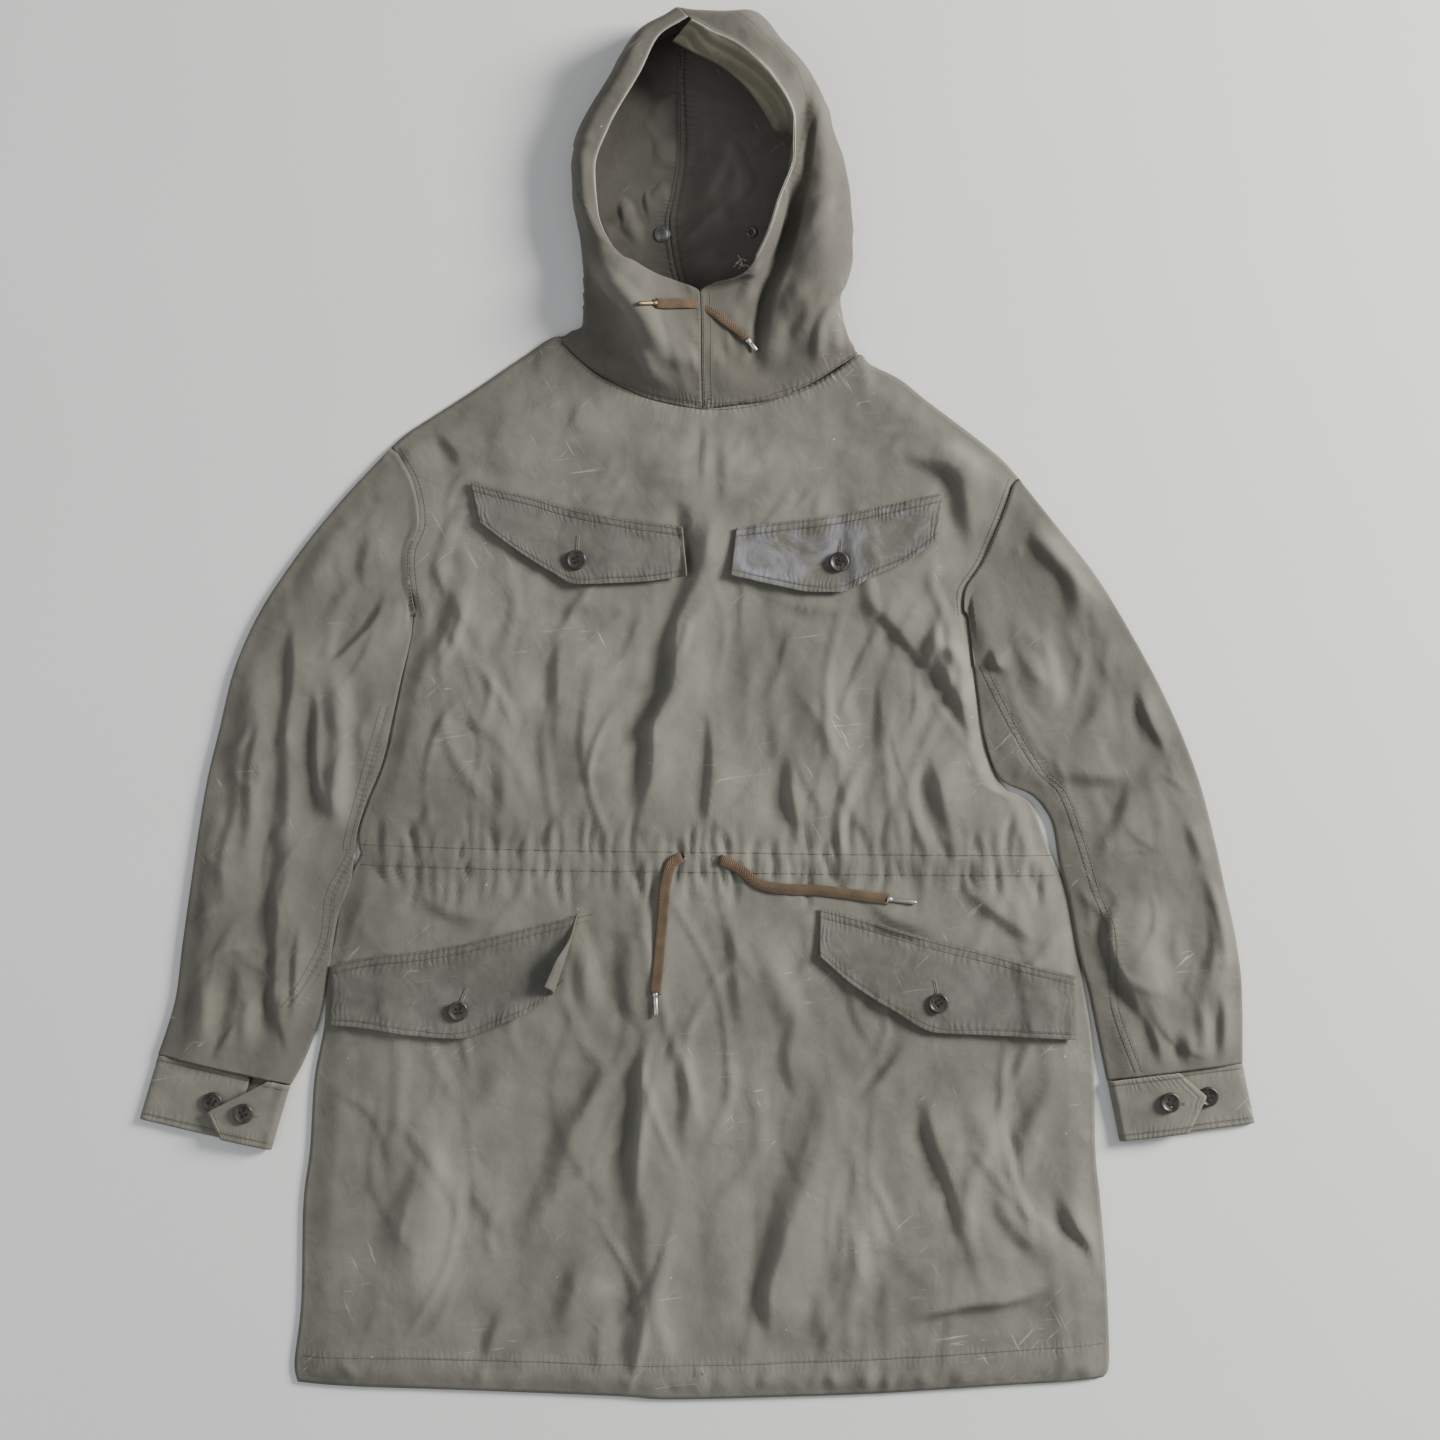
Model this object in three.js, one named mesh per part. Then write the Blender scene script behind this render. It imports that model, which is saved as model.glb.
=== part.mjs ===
// Anorak smock of olive-drab cotton poplin, lying flat on its back with its front up.
// Millimetres. +X is the smock's left as it lies, +Y runs from hem to hood and +Z is up. The origin is
// the middle of the footprint, on the surface that the smock lies on.
import * as THREE from 'three';

// Driving dimensions
const backWall = 1.2;
const frontWall = 1.5;
const sleeveWall = 1.3;
const hoodWall = 1.2;
const flapWall = 1.6;
const cuffWall = 1.7;
const seamGap = 0.35;
const lapGap = 0.6;
const underarmGap = 1.6;
const panelRest = backWall + 0.4 + frontWall;
const panelLoft = 4.6;
const panelWidth = 620;
const upperHeight = 400;
const lowerHeight = 475;
const hemHold = 6;
const edgeFade = 26;
const foldTaper = 0.22;
const waistReach = 40;
const frontColumns = 42;
const backSteps = { side: 12, skirt: 14, hem: 14, neck: 16, shoulder: 8 };
const upperRowCount = 12;
const lowerRowCount = 12;
const gather = {
  count: 56, height: 1.7, offsets: [24, 10, 0, -10, -24], strengths: [0.3, 0.75, 1, 0.75, 0.3],
  evenShare: 0.7, unevenShare: 0.3, quickSwing: 1.7, slowSwing: 0.31,
};
const armholeSteps = 8;
const sleeveRest = 5.2;
const sleeveLoft = 3.4;
const sleeveRowCount = 17;
const sleeveBowShare = 0.28;
const sleeveEdgeShare = 0.2;
const sleeveLap = 3;
const sleeveLappedRows = 2;
const restReach = 12;
const flapReach = 14;
const rimWidth = 27;
const landingRings = { shares: [0.35, 0.7, 1], places: 12, cell: 20 };
const button = { radius: 9, height: 3.2, sides: 12, edge: 0.9, rim: 1.4, well: 3.2, wellDepth: 1.2 };
const lace = { width: 9, coreRadius: 1.6, step: 12, stepsPerStation: 1.6, curveSegments: 4 };
const tag = { radius: 2, curveSegments: 4, footReach: 6, tipReach: 5, mostDrop: 3 };

// Materials
const poplin = new THREE.MeshStandardMaterial({ color: 0x76746a, roughness: 0.95, metalness: 0 });
const flapPoplin = new THREE.MeshStandardMaterial({ color: 0x7a7a74, roughness: 0.95, metalness: 0 });
const horn = new THREE.MeshStandardMaterial({ color: 0x3a2e2a, roughness: 0.4, metalness: 0 });
const braid = new THREE.MeshStandardMaterial({ color: 0x83613f, roughness: 0.9, metalness: 0 });
const steel = new THREE.MeshStandardMaterial({ color: 0xb4b4b0, roughness: 0.35, metalness: 1 });

// Outline of the body panels, each edge from the hood end down or from left to right
const outline = {
  shoulderLeft: [[-276, 235], [-261, 248], [-241, 261], [-199, 288], [-158, 316], [-126, 335]],
  neck: [[-126, 335], [-112, 319], [-92, 302], [-69, 290], [-45, 282], [-20, 276], [5, 272],
    [27, 272], [52, 275], [76, 282], [100, 290], [125, 304], [146, 319]],
  shoulderRight: [[146, 319], [157, 310], [183, 297], [207, 278], [248, 247], [275, 225], [291, 207]],
  backNeck: [[146, 319], [134, 312], [100, 303], [10, 298], [-80, 304], [-112, 318], [-126, 335]],
  armholeLeft: [[-276, 235], [-259, 204], [-253, 167], [-262, 140], [-261, 112], [-256, 82]],
  sideLeft: [[-256, 82], [-271, 3], [-282, -47], [-298, -88], [-306, -114], [-303, -132]],
  skirtLeft: [[-303, -132], [-321, -168], [-328, -209], [-333, -230], [-336, -285], [-345, -335],
    [-349, -398], [-355, -448], [-357, -537], [-363, -590], [-360, -608]],
  armholeRight: [[291, 207], [278, 172], [261, 132], [245, 107], [245, 83]],
  sideRight: [[245, 83], [254, 21], [263, -39], [278, -73], [301, -86], [315, -120], [324, -142]],
  skirtRight: [[324, -142], [334, -162], [342, -201], [348, -243], [358, -311], [360, -398],
    [364, -441], [369, -499], [372, -562], [372, -595], [367, -604]],
  waist: [[-303, -132], [-150, -137], [3, -139], [150, -141], [324, -142]],
  hem: [[-360, -608], [-312, -612], [-198, -616], [-72, -621], [-27, -624], [66, -622], [154, -619],
    [205, -616], [281, -611], [332, -608], [367, -604]],
};

// Folds of the front: a course of three points, the half width and the height, negative for a trough
const frontFolds = [
  { from: [-59, -320], via: [-62, -440], to: [-59, -640], halfWidth: 17, height: -4.6 },
  { from: [-40, -330], via: [-38, -440], to: [-36, -640], halfWidth: 16, height: 4.2 },
  { from: [-84, -330], via: [-86, -420], to: [-88, -520], halfWidth: 14, height: 2.8 },
  { from: [-97, -320], via: [-133, -410], to: [-158, -500], halfWidth: 15, height: -4.2 },
  { from: [-120, -310], via: [-156, -400], to: [-184, -490], halfWidth: 17, height: 3.4 },
  { from: [-99, -390], via: [-112, -497], to: [-142, -585], halfWidth: 13, height: -3.2 },
  { from: [-74, -525], via: [-97, -575], to: [-95, -640], halfWidth: 13, height: -3.6 },
  { from: [-120, -530], via: [-118, -580], to: [-122, -640], halfWidth: 15, height: 3 },
  { from: [-168, -526], via: [-188, -562], to: [-204, -600], halfWidth: 15, height: -3.2 },
  { from: [-230, -330], via: [-250, -450], to: [-262, -590], halfWidth: 34, height: 2.6 },
  { from: [-300, -320], via: [-312, -440], to: [-318, -560], halfWidth: 20, height: -2.6 },
  { from: [112, -320], via: [78, -448], to: [50, -640], halfWidth: 20, height: -5 },
  { from: [140, -320], via: [106, -440], to: [84, -600], halfWidth: 20, height: 4.8 },
  { from: [82, -330], via: [50, -440], to: [24, -600], halfWidth: 18, height: 3.4 },
  { from: [185, -320], via: [218, -428], to: [244, -540], halfWidth: 17, height: -4 },
  { from: [166, -330], via: [192, -440], to: [214, -560], halfWidth: 18, height: 3.4 },
  { from: [214, -320], via: [246, -400], to: [270, -450], halfWidth: 16, height: 3.2 },
  { from: [306, -325], via: [281, -380], to: [279, -430], halfWidth: 14, height: -3.4 },
  { from: [245, -400], via: [268, -465], to: [316, -520], halfWidth: 14, height: -3.2 },
  { from: [352, -350], via: [330, -375], to: [308, -400], halfWidth: 13, height: -3 },
  { from: [316, -436], via: [344, -480], to: [350, -560], halfWidth: 15, height: -3.4 },
  { from: [176, -572], via: [250, -545], to: [312, -508], halfWidth: 15, height: -3.4 },
  { from: [190, -590], via: [258, -566], to: [330, -540], halfWidth: 16, height: 3 },
  { from: [9, 146], via: [-22, 60], to: [-42, -20], halfWidth: 15, height: -4.6 },
  { from: [-42, -8], via: [-52, -60], to: [-60, -150], halfWidth: 15, height: -4.6 },
  { from: [34, 90], via: [2, 10], to: [-14, -100], halfWidth: 17, height: 3.6 },
  { from: [-50, 90], via: [-72, 10], to: [-86, -100], halfWidth: 18, height: 3.6 },
  { from: [6, -34], via: [7, -80], to: [10, -130], halfWidth: 13, height: -3.4 },
  { from: [77, -20], via: [77, -84], to: [98, -132], halfWidth: 16, height: -4.2 },
  { from: [104, 20], via: [106, -60], to: [122, -128], halfWidth: 18, height: 3.2 },
  { from: [137, 96], via: [161, 70], to: [184, 50], halfWidth: 14, height: -3 },
  { from: [20, 266], via: [22, 220], to: [22, 175], halfWidth: 14, height: -2.6 },
  { from: [-158, 226], via: [-112, 236], to: [-50, 258], halfWidth: 24, height: -3.4 },
  { from: [-190, 252], via: [-130, 268], to: [-80, 276], halfWidth: 20, height: 2.4 },
  { from: [168, 228], via: [217, 215], to: [240, 168], halfWidth: 18, height: -4.4 },
  { from: [240, 172], via: [246, 150], to: [250, 122], halfWidth: 15, height: -4 },
  { from: [-218, 122], via: [-222, 80], to: [-276, 4], halfWidth: 16, height: -4.4 },
  { from: [-246, 254], via: [-206, 236], to: [-214, 212], halfWidth: 13, height: -3.2 },
  { from: [-150, 60], via: [-170, 0], to: [-190, -100], halfWidth: 34, height: 2.4 },
  { from: [200, 60], via: [196, -10], to: [210, -110], halfWidth: 34, height: 2.6 },
];

// Sleeve sections from armhole to cuff: outer and inner edge of the flattened tube
const leftSleeve = [
  { outer: [-276, 235], inner: [-256, 82] },
  { outer: [-320, 188], inner: [-261, 62] },
  { outer: [-364, 133], inner: [-269, 32] },
  { outer: [-398, 80], inner: [-278, -8] },
  { outer: [-419, 30], inner: [-287, -48] },
  { outer: [-431, -20], inner: [-303, -88] },
  { outer: [-442, -66], inner: [-311, -117] },
  { outer: [-450, -113], inner: [-317, -152] },
  { outer: [-457, -162], inner: [-330, -190] },
  { outer: [-464, -212], inner: [-338, -232] },
  { outer: [-470, -260], inner: [-343, -280] },
  { outer: [-479, -292], inner: [-354, -318] },
  { outer: [-486, -312], inner: [-366, -340] },
];
const rightSleeve = [
  { outer: [291, 207], inner: [245, 83] },
  { outer: [323, 167], inner: [251, 58] },
  { outer: [360, 120], inner: [259, 18] },
  { outer: [392, 68], inner: [267, -24] },
  { outer: [420, 16], inner: [284, -60] },
  { outer: [441, -31], inner: [312, -80] },
  { outer: [456, -73], inner: [322, -104] },
  { outer: [468, -120], inner: [333, -140] },
  { outer: [477, -162], inner: [343, -176] },
  { outer: [487, -209], inner: [350, -218] },
  { outer: [492, -248], inner: [356, -262] },
  { outer: [493, -286], inner: [363, -302] },
  { outer: [493, -320], inner: [370, -336] },
];
const leftSleeveFolds = [
  { from: [-366, 84], via: [-370, -50], to: [-382, -305], halfWidth: 15, height: -4 },
  { from: [-346, 70], via: [-348, -50], to: [-360, -290], halfWidth: 17, height: 3.4 },
  { from: [-358, 44], via: [-330, 40], to: [-274, 110], halfWidth: 16, height: -4 },
  { from: [-330, 46], via: [-318, -40], to: [-322, -112], halfWidth: 15, height: 4.4 },
  { from: [-300, 190], via: [-340, 140], to: [-372, 90], halfWidth: 22, height: 3 },
  { from: [-400, 40], via: [-420, -60], to: [-430, -200], halfWidth: 24, height: 3 },
  { from: [-452, -255], via: [-455, -284], to: [-460, -314], halfWidth: 12, height: -3 },
  { from: [-412, -257], via: [-420, -284], to: [-434, -322], halfWidth: 12, height: -3 },
  { from: [-382, -245], via: [-383, -279], to: [-385, -300], halfWidth: 12, height: -3 },
];
const rightSleeveFolds = [
  { from: [298, 153], via: [350, 92], to: [374, 76], halfWidth: 18, height: -4 },
  { from: [320, 160], via: [366, 104], to: [392, 76], halfWidth: 18, height: 3.4 },
  { from: [263, 42], via: [270, 32], to: [290, 40], halfWidth: 13, height: -4 },
  { from: [290, 74], via: [318, 40], to: [330, -20], halfWidth: 22, height: 3.4 },
  { from: [319, -68], via: [342, -66], to: [366, -59], halfWidth: 14, height: -4 },
  { from: [322, -50], via: [345, -46], to: [372, -38], halfWidth: 15, height: 3.2 },
  { from: [395, 30], via: [406, -7], to: [424, -54], halfWidth: 18, height: -3.4 },
  { from: [386, -162], via: [373, -201], to: [403, -285], halfWidth: 16, height: -3.6 },
  { from: [410, -150], via: [400, -210], to: [424, -290], halfWidth: 20, height: 3.6 },
  { from: [441, -141], via: [468, -184], to: [445, -290], halfWidth: 16, height: -3.4 },
  { from: [380, 20], via: [394, -60], to: [420, -130], halfWidth: 26, height: 2.8 },
  { from: [471, -270], via: [473, -300], to: [471, -324], halfWidth: 12, height: -3 },
];

// Hood sections from neck seam to crown. Each starts at the centre-back seam on the floor, turns up at
// its side and comes over to the throat seam or, above the throat, to the rim of the face opening.
const hoodColumns = ['back', 'under', 'side', 'bulge', 'dip', 'end'];
const leftHood = [
  [[10, 298.6], [-82, 311], [-101, 322, 5], [-88, 298, 6], [-40, 277, 6], [5, 269, 6]],
  [[7, 330], [-86, 334], [-100, 345, 9], [-78, 326, 14], [-37, 316, 30], [4, 308, 22]],
  [[3, 360], [-88, 372], [-102, 384, 11], [-84, 366, 18], [-54, 354, 34], [4, 342, 26]],
  [[-4, 400], [-92, 410], [-104, 418, 12], [-95, 398, 24], [-74, 386, 35], [3, 370, 28]],
  [[-12, 438], [-98, 440], [-108, 444, 13], [-102, 434, 25], [-88, 418, 33], [-58, 393, 30]],
  [[-15, 462], [-100, 462], [-111, 464, 13], [-109, 461, 24], [-101, 456, 31], [-87, 440, 28]],
  [[-17, 490], [-100, 489], [-112, 487, 13], [-110, 487, 24], [-102, 485, 31], [-90, 480, 28]],
  [[-17, 520], [-92, 520], [-104, 520, 14], [-102, 520, 26], [-93, 519, 34], [-77, 517, 32]],
  [[-16, 560], [-68, 561], [-79, 563, 16], [-77, 563, 30], [-68, 562, 39], [-50, 562, 37]],
  [[-14, 594], [-44, 598], [-52, 602, 18], [-50, 602, 34], [-44, 599, 44], [-32, 594, 43]],
  [[-12, 604], [-15, 612], [-21, 621, 16], [-20, 621, 32], [-14, 617, 45], [-7, 609, 46]],
];
const rightHood = [
  [[10, 298.6], [118, 308], [139, 318, 5], [122, 304, 6], [76, 280, 6], [5, 269, 6]],
  [[7, 330], [120, 330], [133, 335, 10], [104, 330, 24], [56, 318, 15], [4, 308, 22]],
  [[3, 360], [114, 362], [127, 362, 12], [100, 360, 29], [62, 352, 17], [4, 342, 26]],
  [[-4, 400], [122, 392], [134, 384, 12], [108, 384, 30], [71, 380, 20], [3, 370, 28]],
  [[-12, 438], [128, 420], [140, 406, 12], [114, 406, 32], [80, 402, 23], [42, 384, 40]],
  [[-15, 462], [129, 442], [141, 430, 12], [117, 430, 34], [87, 425, 26], [62, 414, 50]],
  [[-17, 490], [127, 470], [139, 458, 12], [118, 458, 34], [93, 451, 27], [74, 447, 58]],
  [[-17, 520], [121, 496], [134, 488, 13], [116, 487, 34], [98, 484, 30], [87, 483, 62]],
  [[-16, 545], [110, 522], [122, 518, 14], [111, 517, 34], [100, 515, 36], [87, 514, 62]],
  [[-15, 570], [96, 553], [108, 556, 14], [101, 555, 34], [91, 554, 46], [68, 554, 58]],
  [[-14, 586], [66, 586], [79, 595, 15], [73, 594, 34], [61, 590, 48], [36, 585, 52]],
  [[-13, 597], [40, 608], [50, 620, 16], [46, 619, 33], [37, 612, 47], [14, 596, 50]],
  [[-12, 601], [8, 612], [14, 619, 16], [13, 618, 33], [10, 613, 46], [3, 603, 48]],
  [[-12, 604], [-15, 612], [-21, 621, 16], [-20, 621, 32], [-14, 617, 45], [-7, 609, 46]],
];
const throatRow = 3;
const hoodGrid = { main: 14, band: 3, frontStart: 8, curveSteps: 400 };

// Pocket flaps: sections across the flap, each from the sewn edge to the free edge
const flaps = {
  flap_chest_left: {
    lift: 2.4,
    sections: [[[-203, 203], [-194, 166]], [[-177, 196], [-159, 140]], [[-150, 190], [-130, 122]],
      [[-123, 182], [-107, 111]], [[-87, 174], [-73, 112]], [[-51, 168], [-42, 114]],
      [[-13, 163], [-9, 119]]],
  },
  flap_chest_right: {
    lift: 3.2,
    sections: [[[36, 162], [31, 119]], [[75, 167], [71, 110]], [[110, 171], [104, 104]],
      [[141, 176], [129, 104]], [[165, 181], [158, 118]], [[192, 187], [188, 131]], [[223, 194], [216, 152]]],
  },
  flap_lower_left: {
    lift: 2.6,
    sections: [[[-328, -231], [-329, -285]], [[-288, -223], [-296, -288]], [[-249, -219], [-256, -294]],
      [[-213, -213], [-214, -297]], [[-172, -203], [-179, -285]], [[-132, -193], [-147, -271]],
      [[-93, -184], [-121, -249]]],
  },
  flap_lower_right: {
    lift: 2.6,
    sections: [[[111, -180], [111, -223]], [[138, -187], [138, -247]], [[179, -199], [177, -272]],
      [[218, -210], [216, -292]], [[260, -220], [260, -294]], [[300, -231], [303, -296]],
      [[341, -241], [342, -298]]],
  },
};
const flapRowCount = 4;

// Cuffs: the ends of the sleeve seam and the way down to the bottom edge, then the pointed end as shares
// of these: where its tip is across and down, and where its upper and lower corners are across
const cuffs = {
  cuff_left: { start: [-486, -312], finish: [-366, -340], down: [-17, -58],
    tipAcross: 0.475, tipDown: 0.65, upperCorner: 0.84, lowerCorner: 0.63 },
  cuff_right: { start: [493, -320], finish: [370, -336], down: [11, -54],
    tipAcross: 0.316, tipDown: 0.44, upperCorner: 0.48, lowerCorner: 0.5 },
};
const cuffLayer = { under: 5.6, over: 9.6, bridge: 11.8, point: 12 };
const cuffRowCount = 5;
// Course of the strip before its pointed end: share of the way across, height
const cuffSection = [
  [0.7, cuffLayer.under], [0.35, cuffLayer.under], [0.05, 5.2], [0.003, 2.6], [0.05, 0], [0.35, 0],
  [0.65, 0], [0.95, 0], [0.998, 4.6], [0.95, 9.3], [0.9, cuffLayer.over],
];

const flapButtons = {
  button_chest_left: [-108, 133], button_chest_right: [128, 131],
  button_lower_left: [-214, -272], button_lower_right: [217, -265],
};
const cuffButtons = {
  button_cuff_left: [-407, -364], button_cuff_right: [425, -354],
};
const spareButtons = {
  button_spare_left: [-436, -355], button_spare_right: [461, -350],
};

// Snaps inside the hood
const snaps = {
  snap_cap: { place: [-31, 428], radius: 7, height: 2.4 },
  snap_socket: { place: [50, 430], radius: 5, height: 1.8 },
};
const snapShape = { sides: 14, edge: 0.4, shoulder: 0.8 };

// Lace ends: the course of each flat lace and the far end of its metal tag
const waistLaces = {
  waist_left: {
    course: [[-13, -134], [-22, -140], [-28, -160], [-31, -194], [-34, -228], [-37, -257]],
    tip: [-36, -277],
  },
  waist_right: {
    course: [[20, -136], [37, -144], [57, -159], [82, -163], [109, -164], [141, -168], [173, -172]],
    tip: [198, -175],
  },
};
const hoodLaces = {
  hood_left: { course: [[-8, 360], [-17, 359], [-26, 358], [-36, 358]], tip: [-51, 356] },
  hood_right: { course: [[16, 352], [24, 346], [36, 338], [46, 329]], tip: [54, 320] },
};

// Helpers on numbers and curves
const smooth = (t) => {
  const s = THREE.MathUtils.clamp(t, 0, 1);
  return s * s * (3 - 2 * s);
};
const flatCurve = (points) => new THREE.SplineCurve(points.map(([x, y]) => new THREE.Vector2(x, y)));
const joinCourses = (...courses) => courses.flatMap((course, k) => (k ? course.slice(1) : course));

// Value between table rows, with no overshoot past them
function between(values, t) {
  const last = values.length - 1;
  const k = Math.min(last - 1, Math.floor(t * last));
  const f = t * last - k;
  const rise = (i) => values[Math.min(last, i + 1)] - values[Math.min(last - 1, i)];
  const slope = (i) => {
    const before = i > 0 ? rise(i - 1) : rise(0);
    const after = i < last ? rise(i) : rise(last - 1);
    return before * after <= 0 ? 0 : 2 * before * after / (before + after);
  };
  const hump = f * f * (3 - 2 * f);
  return values[k] * (1 - hump) + values[k + 1] * hump
    + slope(k) * f * (1 - f) * (1 - f) - slope(k + 1) * f * f * (1 - f);
}

// Height that a table of folds adds at a place
function reliefAt(x, y, folds) {
  let total = 0;
  for (const fold of folds) {
    const stretches = [[fold.from, fold.via, 0], [fold.via, fold.to, 0.5]];
    let nearest = Infinity;
    let along = 0;
    for (const [[ax, ay], [bx, by], base] of stretches) {
      const length2 = (bx - ax) ** 2 + (by - ay) ** 2;
      const t = THREE.MathUtils.clamp(((x - ax) * (bx - ax) + (y - ay) * (by - ay)) / length2, 0, 1);
      const distance = Math.hypot(x - ax - t * (bx - ax), y - ay - t * (by - ay));
      if (distance < nearest) {
        nearest = distance;
        along = base + t / 2;
      }
    }
    if (nearest < fold.halfWidth) {
      const taper = smooth(along / foldTaper) * smooth((1 - along) / foldTaper);
      total += fold.height * taper * (1 - (nearest / fold.halfWidth) ** 2) ** 2;
    }
  }
  return total;
}

// Closed solids from rows of points
function geometryFrom(vertices, faces) {
  let volume = 0;
  for (const [a, b, c] of faces) {
    volume += vertices[a].dot(new THREE.Vector3().crossVectors(vertices[b], vertices[c]));
  }
  const outward = volume < 0 ? faces.map(([a, b, c]) => [a, c, b]) : faces;
  const geometry = new THREE.BufferGeometry();
  const places = vertices.flatMap((v) => v.toArray());
  geometry.setAttribute('position', new THREE.Float32BufferAttribute(places, 3));
  geometry.setIndex(outward.flat());
  geometry.computeVertexNormals();
  return geometry;
}

// Triangles between two rows that may have different numbers of points
function stripBetween(first, second) {
  const faces = [];
  let i = 0;
  let j = 0;
  while (i < first.length - 1 || j < second.length - 1) {
    const nextFirst = (i + 1) / (first.length - 1);
    const nextSecond = (j + 1) / (second.length - 1);
    if (j < second.length - 1 && nextSecond <= nextFirst + 1e-9) {
      faces.push([first[i], second[j], second[j + 1]]);
      j += 1;
    } else {
      faces.push([first[i], second[j], first[i + 1]]);
      i += 1;
    }
  }
  return faces;
}

function sheetSolid(outerRows, innerRows) {
  const vertices = [...outerRows.flat(), ...innerRows.flat()];
  let next = 0;
  const outer = outerRows.map((row) => row.map(() => next++));
  const shift = next;
  const faces = [];
  for (let r = 0; r < outer.length - 1; r += 1) {
    for (const face of stripBetween(outer[r], outer[r + 1])) {
      faces.push(face, [face[0] + shift, face[2] + shift, face[1] + shift]);
    }
  }
  const last = outer[outer.length - 1];
  const rim = [...outer[0], ...outer.slice(1, -1).map((row) => row[row.length - 1]), ...[...last].reverse(),
    ...outer.slice(1, -1).map((row) => row[0]).reverse()];
  rim.forEach((a, k) => {
    const b = rim[(k + 1) % rim.length];
    faces.push([a, b, b + shift], [a, b + shift, a + shift]);
  });
  return geometryFrom(vertices, faces);
}

function tubeSolid(outerRings, innerRings) {
  const size = outerRings[0].length;
  const vertices = [...outerRings.flat(), ...innerRings.flat()];
  const shift = outerRings.length * size;
  const faces = [];
  const at = (ring, k) => ring * size + (k % size);
  for (let r = 0; r < outerRings.length - 1; r += 1) {
    for (let k = 0; k < size; k += 1) {
      const quad = [
        [at(r, k), at(r + 1, k), at(r + 1, k + 1)],
        [at(r, k), at(r + 1, k + 1), at(r, k + 1)],
      ];
      for (const face of quad) {
        faces.push(face, [face[0] + shift, face[2] + shift, face[1] + shift]);
      }
    }
  }
  const lastRing = outerRings.length - 1;
  for (let k = 0; k < size; k += 1) {
    const [a, b] = [at(0, k), at(0, k + 1)];
    const [c, d] = [at(lastRing, k + 1), at(lastRing, k)];
    faces.push([a, b, b + shift], [a, b + shift, a + shift]);
    faces.push([c, d, d + shift], [c, d + shift, c + shift]);
  }
  return geometryFrom(vertices, faces);
}

const lowered = (rows, depth) => rows.map((row) => row.map((p) => new THREE.Vector3(p.x, p.y, p.z - depth)));

// Rows moved along the surface's own normals; side is 1 or -1 and picks the direction. Points that
// lie on a seam in a plane of constant X move inside that plane, and so does a whole crown row.
function movedIn(rows, depth, side, onSeam = () => false, crownRow = -1) {
  return rows.map((row, r) => row.map((point, c) => {
    const across = row[Math.min(c + 1, row.length - 1)].clone().sub(row[Math.max(c - 1, 0)]);
    if (r === crownRow) {
      return point.clone().addScaledVector(new THREE.Vector3(0, -across.z, across.y).normalize(), depth);
    }
    const along = rows[Math.min(r + 1, rows.length - 1)][c].clone().sub(rows[Math.max(r - 1, 0)][c]);
    const normal = across.cross(along);
    if (onSeam(r, c)) normal.x = 0;
    normal.normalize();
    return point.clone().addScaledVector(normal, -side * depth);
  }));
}

// Highest point of some pieces over a place and, with a reach, over the places round it
function landingOn(pieces) {
  const { cell, shares, places } = landingRings;
  const bins = new Map();
  const [a, b, c] = [new THREE.Vector3(), new THREE.Vector3(), new THREE.Vector3()];
  for (const { geometry } of pieces) {
    const position = geometry.getAttribute('position');
    const index = geometry.getIndex();
    for (let k = 0; k < index.count; k += 3) {
      [a, b, c].forEach((v, n) => v.fromBufferAttribute(position, index.getX(k + n)));
      const triangle = [a.clone(), b.clone(), c.clone()];
      const [lowX, highX] = [Math.min(a.x, b.x, c.x), Math.max(a.x, b.x, c.x)];
      const [lowY, highY] = [Math.min(a.y, b.y, c.y), Math.max(a.y, b.y, c.y)];
      for (let i = Math.floor(lowX / cell); i <= Math.floor(highX / cell); i += 1) {
        for (let j = Math.floor(lowY / cell); j <= Math.floor(highY / cell); j += 1) {
          const key = `${i},${j}`;
          if (!bins.has(key)) bins.set(key, []);
          bins.get(key).push(triangle);
        }
      }
    }
  }
  const heightAt = (x, y) => {
    let top = -Infinity;
    for (const [p, q, s] of bins.get(`${Math.floor(x / cell)},${Math.floor(y / cell)}`) ?? []) {
      const area = (q.x - p.x) * (s.y - p.y) - (s.x - p.x) * (q.y - p.y);
      if (Math.abs(area) < 1e-9) continue;
      const u = ((x - p.x) * (s.y - p.y) - (s.x - p.x) * (y - p.y)) / area;
      const v = ((q.x - p.x) * (y - p.y) - (x - p.x) * (q.y - p.y)) / area;
      if (u >= 0 && v >= 0 && u + v <= 1) {
        top = Math.max(top, p.z + u * (q.z - p.z) + v * (s.z - p.z));
      }
    }
    return top;
  };
  return (x, y, reach = 0) => {
    let top = heightAt(x, y);
    for (const share of reach ? shares : []) {
      for (let k = 0; k < places; k += 1) {
        const turn = k * 2 * Math.PI / places;
        const [px, py] = [x + share * reach * Math.cos(turn), y + share * reach * Math.sin(turn)];
        top = Math.max(top, heightAt(px, py));
      }
    }
    return top;
  };
}

const smock = new THREE.Group();
function add(name, geometry, material) {
  const mesh = new THREE.Mesh(geometry, material);
  mesh.name = name;
  smock.add(mesh);
  return mesh;
}

// Patch between four edges, as a cloth panel is laid out
function panelPatch(top, bottom, left, right) {
  return (a, b) => {
    const [t, t0, t1] = [a, 0, 1].map((share) => top.getPointAt(share));
    const [w, w0, w1] = [a, 0, 1].map((share) => bottom.getPointAt(share));
    const [l, r] = [left.getPointAt(b), right.getPointAt(b)];
    const blend = (key) => (1 - b) * t[key] + b * w[key] + (1 - a) * l[key] + a * r[key]
      - (1 - a) * (1 - b) * t0[key] - a * (1 - b) * t1[key] - (1 - a) * b * w0[key] - a * b * w1[key];
    return [blend('x'), blend('y')];
  };
}

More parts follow.
